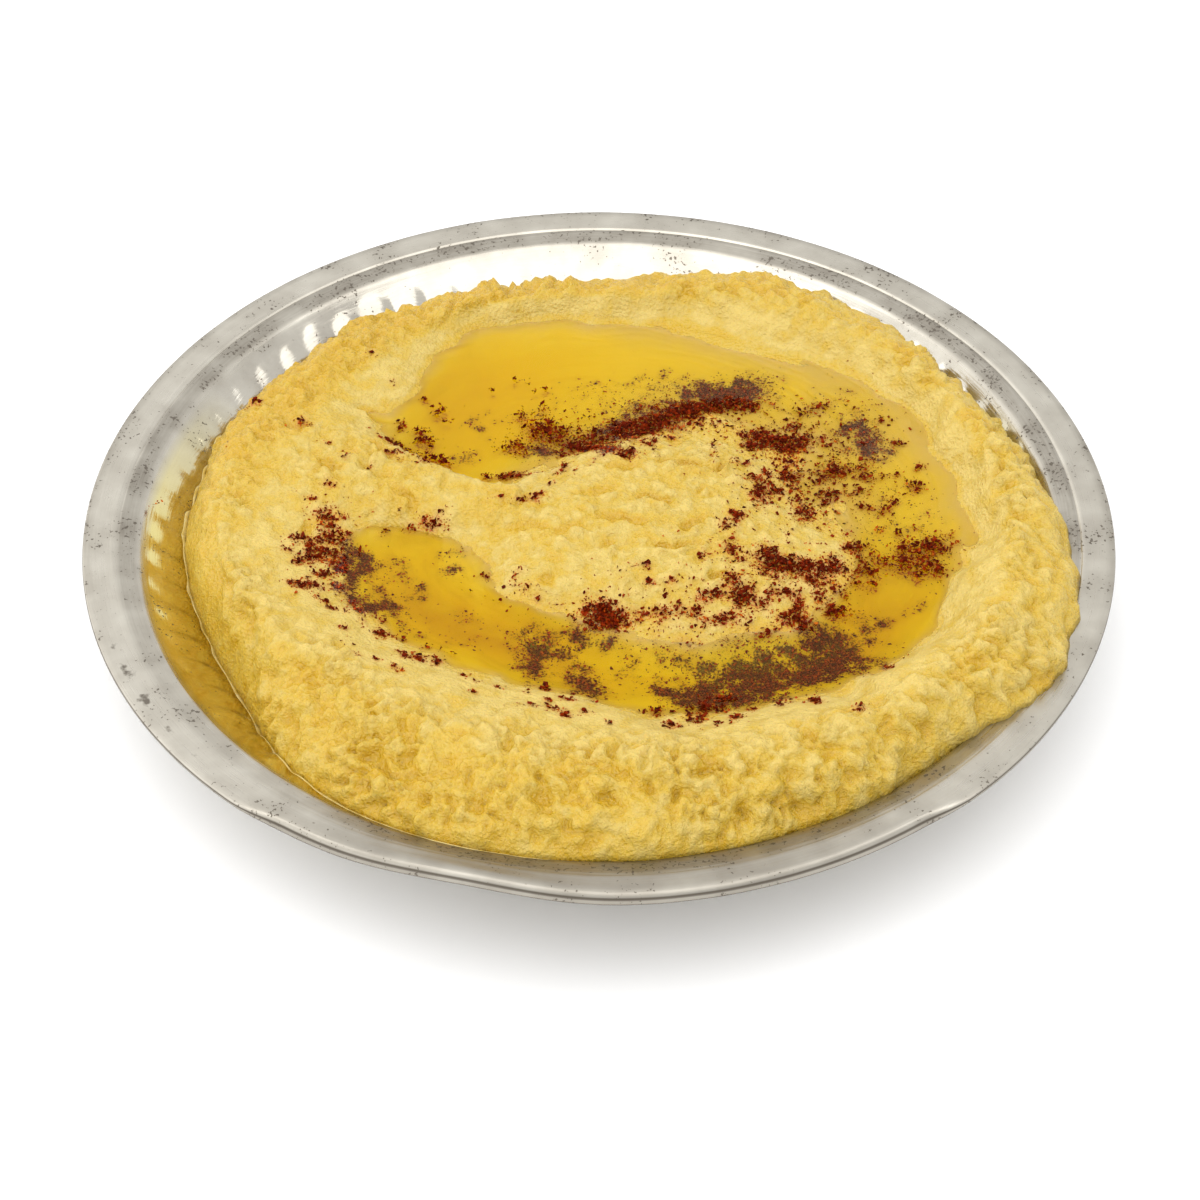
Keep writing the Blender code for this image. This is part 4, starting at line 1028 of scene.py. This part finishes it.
def landed(bits, sunk=False, pile=0.0):
    """Drops each bit onto the hummus, or onto the oil unless it has sunk, in heaps where it is thick."""
    thick = thickness(bits)
    kept, normals, sizes = [], [], []
    for (x, y, size), heap in zip(bits.tolist(), (thick * random.random(len(bits)) * pile).tolist()):
        spot, normal, face, distance = surface.ray_cast((x, y, 0.1), (0, 0, -1))
        if spot is None:
            reach, bearing = math.hypot(x, y), math.degrees(math.atan2(y, x)) % 360
            if reach > dish_radius - 0.002:
                continue
            spot = Vector((x, y, float(metal_height(reach, np.array(bearing)))))
            normal = Vector((0.0, 0.0, 1.0))
        floats = spot.z < oil_level and not sunk
        height = max(spot.z, oil_level) if floats else spot.z
        kept.append((x, y, height + lying * size + heap))
        normals.append((0.0, 0.0, 1.0) if floats else tuple(normal))
        sizes.append(size)
    return np.array(kept), np.array(normals), np.array(sizes)


cell, cells = 0.0004, 560            # a square grid over the dish that says how thick the pepper lies


def spread_out(bits, reach):
    """How much pepper lies at each cell of a square grid, by area, blurred over reach cells."""
    grid = np.zeros((cells, cells))
    column = np.clip((bits[:, 0] / cell + cells / 2).astype(int), 0, cells - 1)
    row = np.clip((bits[:, 1] / cell + cells / 2).astype(int), 0, cells - 1)
    np.add.at(grid, (row, column), (bits[:, 2] / cell) ** 2)
    weights = np.exp(-np.linspace(-2, 2, 4 * reach + 1) ** 2)
    weights /= weights.sum()
    for axis in (0, 1):
        grid = np.apply_along_axis(np.convolve, axis, grid, weights, mode="same")
    return grid


def read_grid(grid, spots):
    """The grid's value at each spot, blended between the four cells round it."""
    x = np.clip(spots[:, 0] / cell + cells / 2 - 0.5, 0, cells - 2)
    y = np.clip(spots[:, 1] / cell + cells / 2 - 0.5, 0, cells - 2)
    i, j = y.astype(int), x.astype(int)
    v, u = y - i, x - j
    return ((grid[i, j] * (1 - u) + grid[i, j + 1] * u) * (1 - v)
            + (grid[i + 1, j] * (1 - u) + grid[i + 1, j + 1] * u) * v)


def thickness(bits):
    """0 to 1: how thickly the bits lie round each of them."""
    return np.clip(read_grid(spread_out(bits, 2), bits) / 1.5, 0, 1)


def flake_tree(sizes, material):
    """Puts an uneven chip on every point, flat to its surface, and gives each chip its own shade."""
    tree, given = node_tree("pepper chips", sizes)
    given = given.outputs
    seed = 5
    size = add(tree, "GeometryNodeInputNamedAttribute", {"data_type": "FLOAT"}, {"Name": "size"}).outputs[0]
    normal = add(tree, "GeometryNodeInputNamedAttribute", {"data_type": "FLOAT_VECTOR"},
                 {"Name": "up"}).outputs[0]
    chip = add(tree, "GeometryNodeMeshIcoSphere", {}, {"Radius": 0.5, "Subdivisions": 1})
    lie = add(tree, "FunctionNodeAlignRotationToVector", {"axis": "Z"}, {"Vector": normal})
    spin = add(tree, "FunctionNodeRandomValue", {"data_type": "FLOAT_VECTOR"},
               {0: (-0.5, -0.5, -3.14), 1: (0.5, 0.5, 3.14), "Seed": seed}).outputs[0]
    spun = add(tree, "FunctionNodeRotateRotation", {"rotation_space": "LOCAL"},
               {"Rotation": lie, "Rotate By": spin})
    shape = add(tree, "FunctionNodeRandomValue", {"data_type": "FLOAT_VECTOR"},
                {0: (0.85, 0.35, 0.16), 1: (1.5, 0.85, 0.45), "Seed": seed + 1}).outputs[0]
    scale = add(tree, "ShaderNodeVectorMath", {"operation": "SCALE"}, {0: shape, "Scale": size})
    chips = add(tree, "GeometryNodeInstanceOnPoints", {},
                {"Points": given["Geometry"], "Instance": chip, "Rotation": spun, "Scale": scale})
    tone = add(tree, "FunctionNodeRandomValue", {"data_type": "FLOAT"}, {"Seed": seed + 2}).outputs[1]
    toned = add(tree, "GeometryNodeStoreNamedAttribute", {"data_type": "FLOAT", "domain": "INSTANCE"},
                {"Geometry": chips, "Name": "shade", "Value": tone})
    solid = add(tree, "GeometryNodeRealizeInstances", {}, {"Geometry": toned})
    crumple = add(tree, "ShaderNodeTexNoise", {},
                  {"Scale": given["Crumple Scale"], "Detail": 0.0}).outputs["Color"]
    crumple = add(tree, "ShaderNodeVectorMath", {"operation": "SUBTRACT"}, {0: crumple, 1: (0.5, 0.5, 0.5)})
    amount = add(tree, "ShaderNodeMath", {"operation": "MULTIPLY"}, {0: size, 1: given["Crumple"]})
    crumple = add(tree, "ShaderNodeVectorMath", {"operation": "SCALE"}, {0: crumple, "Scale": amount})
    uneven = add(tree, "GeometryNodeSetPosition", {}, {"Geometry": solid, "Offset": crumple})
    coloured = add(tree, "GeometryNodeSetMaterial", {}, {"Geometry": uneven, "Material": material})
    add(tree, "NodeGroupOutput", {}, {"Geometry": coloured})
    return tree


def ground_pepper(name, stops, rough):
    """Dried pepper skin and flesh: dark and a little shiny as skin, orange and dull as flesh."""
    material, tree, shader = new_material(name)
    shade = add(tree, "ShaderNodeAttribute", {"attribute_name": "shade"}).outputs["Fac"]
    ramp = add(tree, "ShaderNodeValToRGB", {}, {"Fac": shade})
    ramp.color_ramp.elements[0].color = linear(stops[0])
    ramp.color_ramp.elements[1].color = linear(stops[-1])
    for k, code in enumerate(stops[1:-1], 1):
        ramp.color_ramp.elements.new(k / (len(stops) - 1)).color = linear(code)
    # each bit is blotched every half millimetre or so
    place = add(tree, "ShaderNodeTexCoord").outputs["Object"]
    blotch = add(tree, "ShaderNodeTexNoise", {},
                 {"Vector": place, "Scale": 2200.0, "Detail": 1.0}).outputs["Fac"]
    blotched = add(tree, "ShaderNodeMapRange", {}, {"Value": blotch, 1: 0.35, 2: 0.7, 3: 0.0, 4: 0.25})
    colour = add(tree, "ShaderNodeMix", {"data_type": "RGBA"},
                 {0: blotched, 6: ramp.outputs[0], 7: linear("#a4380a")})
    tree.links.new(colour.outputs[2], shader.inputs["Base Color"])
    shader.inputs["Roughness"].default_value = rough
    shader.inputs["Specular IOR Level"].default_value = 0.03
    return material


def make_pepper(name, bits, material, sunk=False, pile=0.0):
    """One kind of pepper as one mesh: a chip where each of its bits has landed."""
    at, up, size = landed(bits, sunk, pile)
    seeds = bpy.data.meshes.new(name)
    seeds.from_pydata(at.tolist(), [], [])
    keep(seeds, size=size)
    upward = seeds.attributes.new("up", "FLOAT_VECTOR", "POINT")
    upward.data.foreach_set("vector", up.astype(np.float32).ravel())
    blank = placed(name + "_points", seeds)
    sizes = {"Crumple Scale": 1800.0, "Crumple": 1.1}
    mesh = grown(blank, flake_tree(sizes, material), sizes)
    bpy.data.objects.remove(blank)
    piece = placed(name, mesh)
    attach(piece, "root")
    return piece


skin = ground_pepper("dried_pepper_skin", ["#220200", "#3a0600", "#560e00", "#842802"], 0.5)
flesh = ground_pepper("dried_pepper_flesh", ["#581402", "#822a04", "#a6460a", "#c46c1c"], 0.55)
powder = ground_pepper("dried_pepper_powder", ["#480e00", "#702002", "#9a4008"], 0.55)
steeped = ground_pepper("pepper_steeped_in_oil", ["#300402", "#5a1006", "#8a280c", "#b85020"], 0.6)

flakes = fallen(dry_pinches, 6.5, 0.42, 1.3)
dust = fallen(dry_pinches, 8.0, 0.22, 0.55, spread=1.7, clump=0.5)
crumbs = fallen(dry_pinches, 3.4, 0.3, 0.9, spread=1.45, clump=0.4)
sunk_bits = fallen(sunk_pinches, 12.0, 0.25, 0.9, spread=1.45, clump=0.3, thin=1.0)
make_pepper("pepper_flakes", flakes, skin, pile=0.0007)
make_pepper("pepper_crumbs", crumbs, flesh, pile=0.0005)
make_pepper("pepper_dust", dust, powder, pile=0.0003)
make_pepper("pepper_sunk", sunk_bits, steeped, sunk=True, pile=0.0004)

# the oil that the pepper has coloured stains the hummus round it, and sunken pepper clouds it
every = np.array([v.co for v in hummus.data.vertices])
dry_all = np.vstack([flakes, dust, crumbs])
stain = np.clip(read_grid(spread_out(dry_all, 2), every) * 0.35, 0, 0.4)
cloudy = 1 + 1.6 * unevenness(every[:, :2], 0.0022, 31)
cloud = np.clip(read_grid(spread_out(sunk_bits, 3), every) * 0.72 * cloudy, 0, 0.85)
wetness = within_crest(every) * (1 - smoothstep(oil_level + 0.0003, oil_level + 0.002, every[:, 2]))
keep(hummus.data, stained=stain, sunk=cloud, wet=wetness)


# ---- The room ----
# A white table under one broad overhead softbox, with even white light from all round.
def make_floor():
    """A matt white table, eight metres square so that its edge never shows."""
    mesh = bpy.data.meshes.new("table_top")
    mesh.from_pydata([(-4, -4, 0), (4, -4, 0), (4, 4, 0), (-4, 4, 0)], [], [(0, 1, 2, 3)])
    material, tree, shader = new_material("white_table")
    shader.inputs["Base Color"].default_value = (0.92, 0.92, 0.92, 1.0)
    shader.inputs["Roughness"].default_value = 0.8
    mesh.materials.append(material)
    floor = placed("table_top", mesh)


def make_light():
    """The softbox hangs over the near edge of the table, and the room adds an even white glow."""
    lamp = bpy.data.lights.new("softbox", "AREA")
    lamp.shape = "RECTANGLE"
    lamp.size, lamp.size_y = 2.0, 1.7
    lamp.energy = 1.4 * math.pi * lamp.size * lamp.size_y
    softbox = placed("softbox", lamp)
    softbox.location = (0.0, -0.5, 1.3)
    world = bpy.data.worlds.new("white_room")
    world.use_nodes = True
    sky = world.node_tree
    side = add(sky, "ShaderNodeSeparateXYZ", {}, {0: add(sky, "ShaderNodeTexCoord").outputs["Generated"]})
    # a little brighter from behind the dish, and brighter still from the left
    glow = add(sky, "ShaderNodeMapRange", {},
               {"Value": side.outputs["Y"], 1: -0.9, 2: 0.6, 3: 0.92, 4: 1.12})
    left = add(sky, "ShaderNodeMapRange", {}, {"Value": side.outputs["X"], 1: 0.0, 2: -0.9, 3: 0.0, 4: 0.8})
    glow = add(sky, "ShaderNodeMath", {"operation": "ADD"}, {0: glow, 1: left})
    sky.links.new(glow.outputs[0], sky.nodes["Background"].inputs["Strength"])
    sky.nodes["Background"].inputs["Color"].default_value = (1.0, 1.0, 1.0, 1.0)
    bpy.context.scene.world = world
    bpy.context.scene.view_settings.view_transform = "Standard"


def make_camera():
    """Looks down at the dish from the eater's side."""
    elevation = math.radians(43.23)
    distance = 0.66
    aim = Vector((0.00025, -0.0261, rim_height))
    back = Vector((0.0, -math.cos(elevation), math.sin(elevation)))
    lens = bpy.data.cameras.new("camera")
    lens.lens = 95.08
    lens.sensor_width = 36.0
    camera = placed("camera", lens)
    camera.location = aim + distance * back
    camera.rotation_euler = back.to_track_quat("Z", "Y").to_euler()
    bpy.context.scene.camera = camera


make_floor()
make_light()
make_camera()
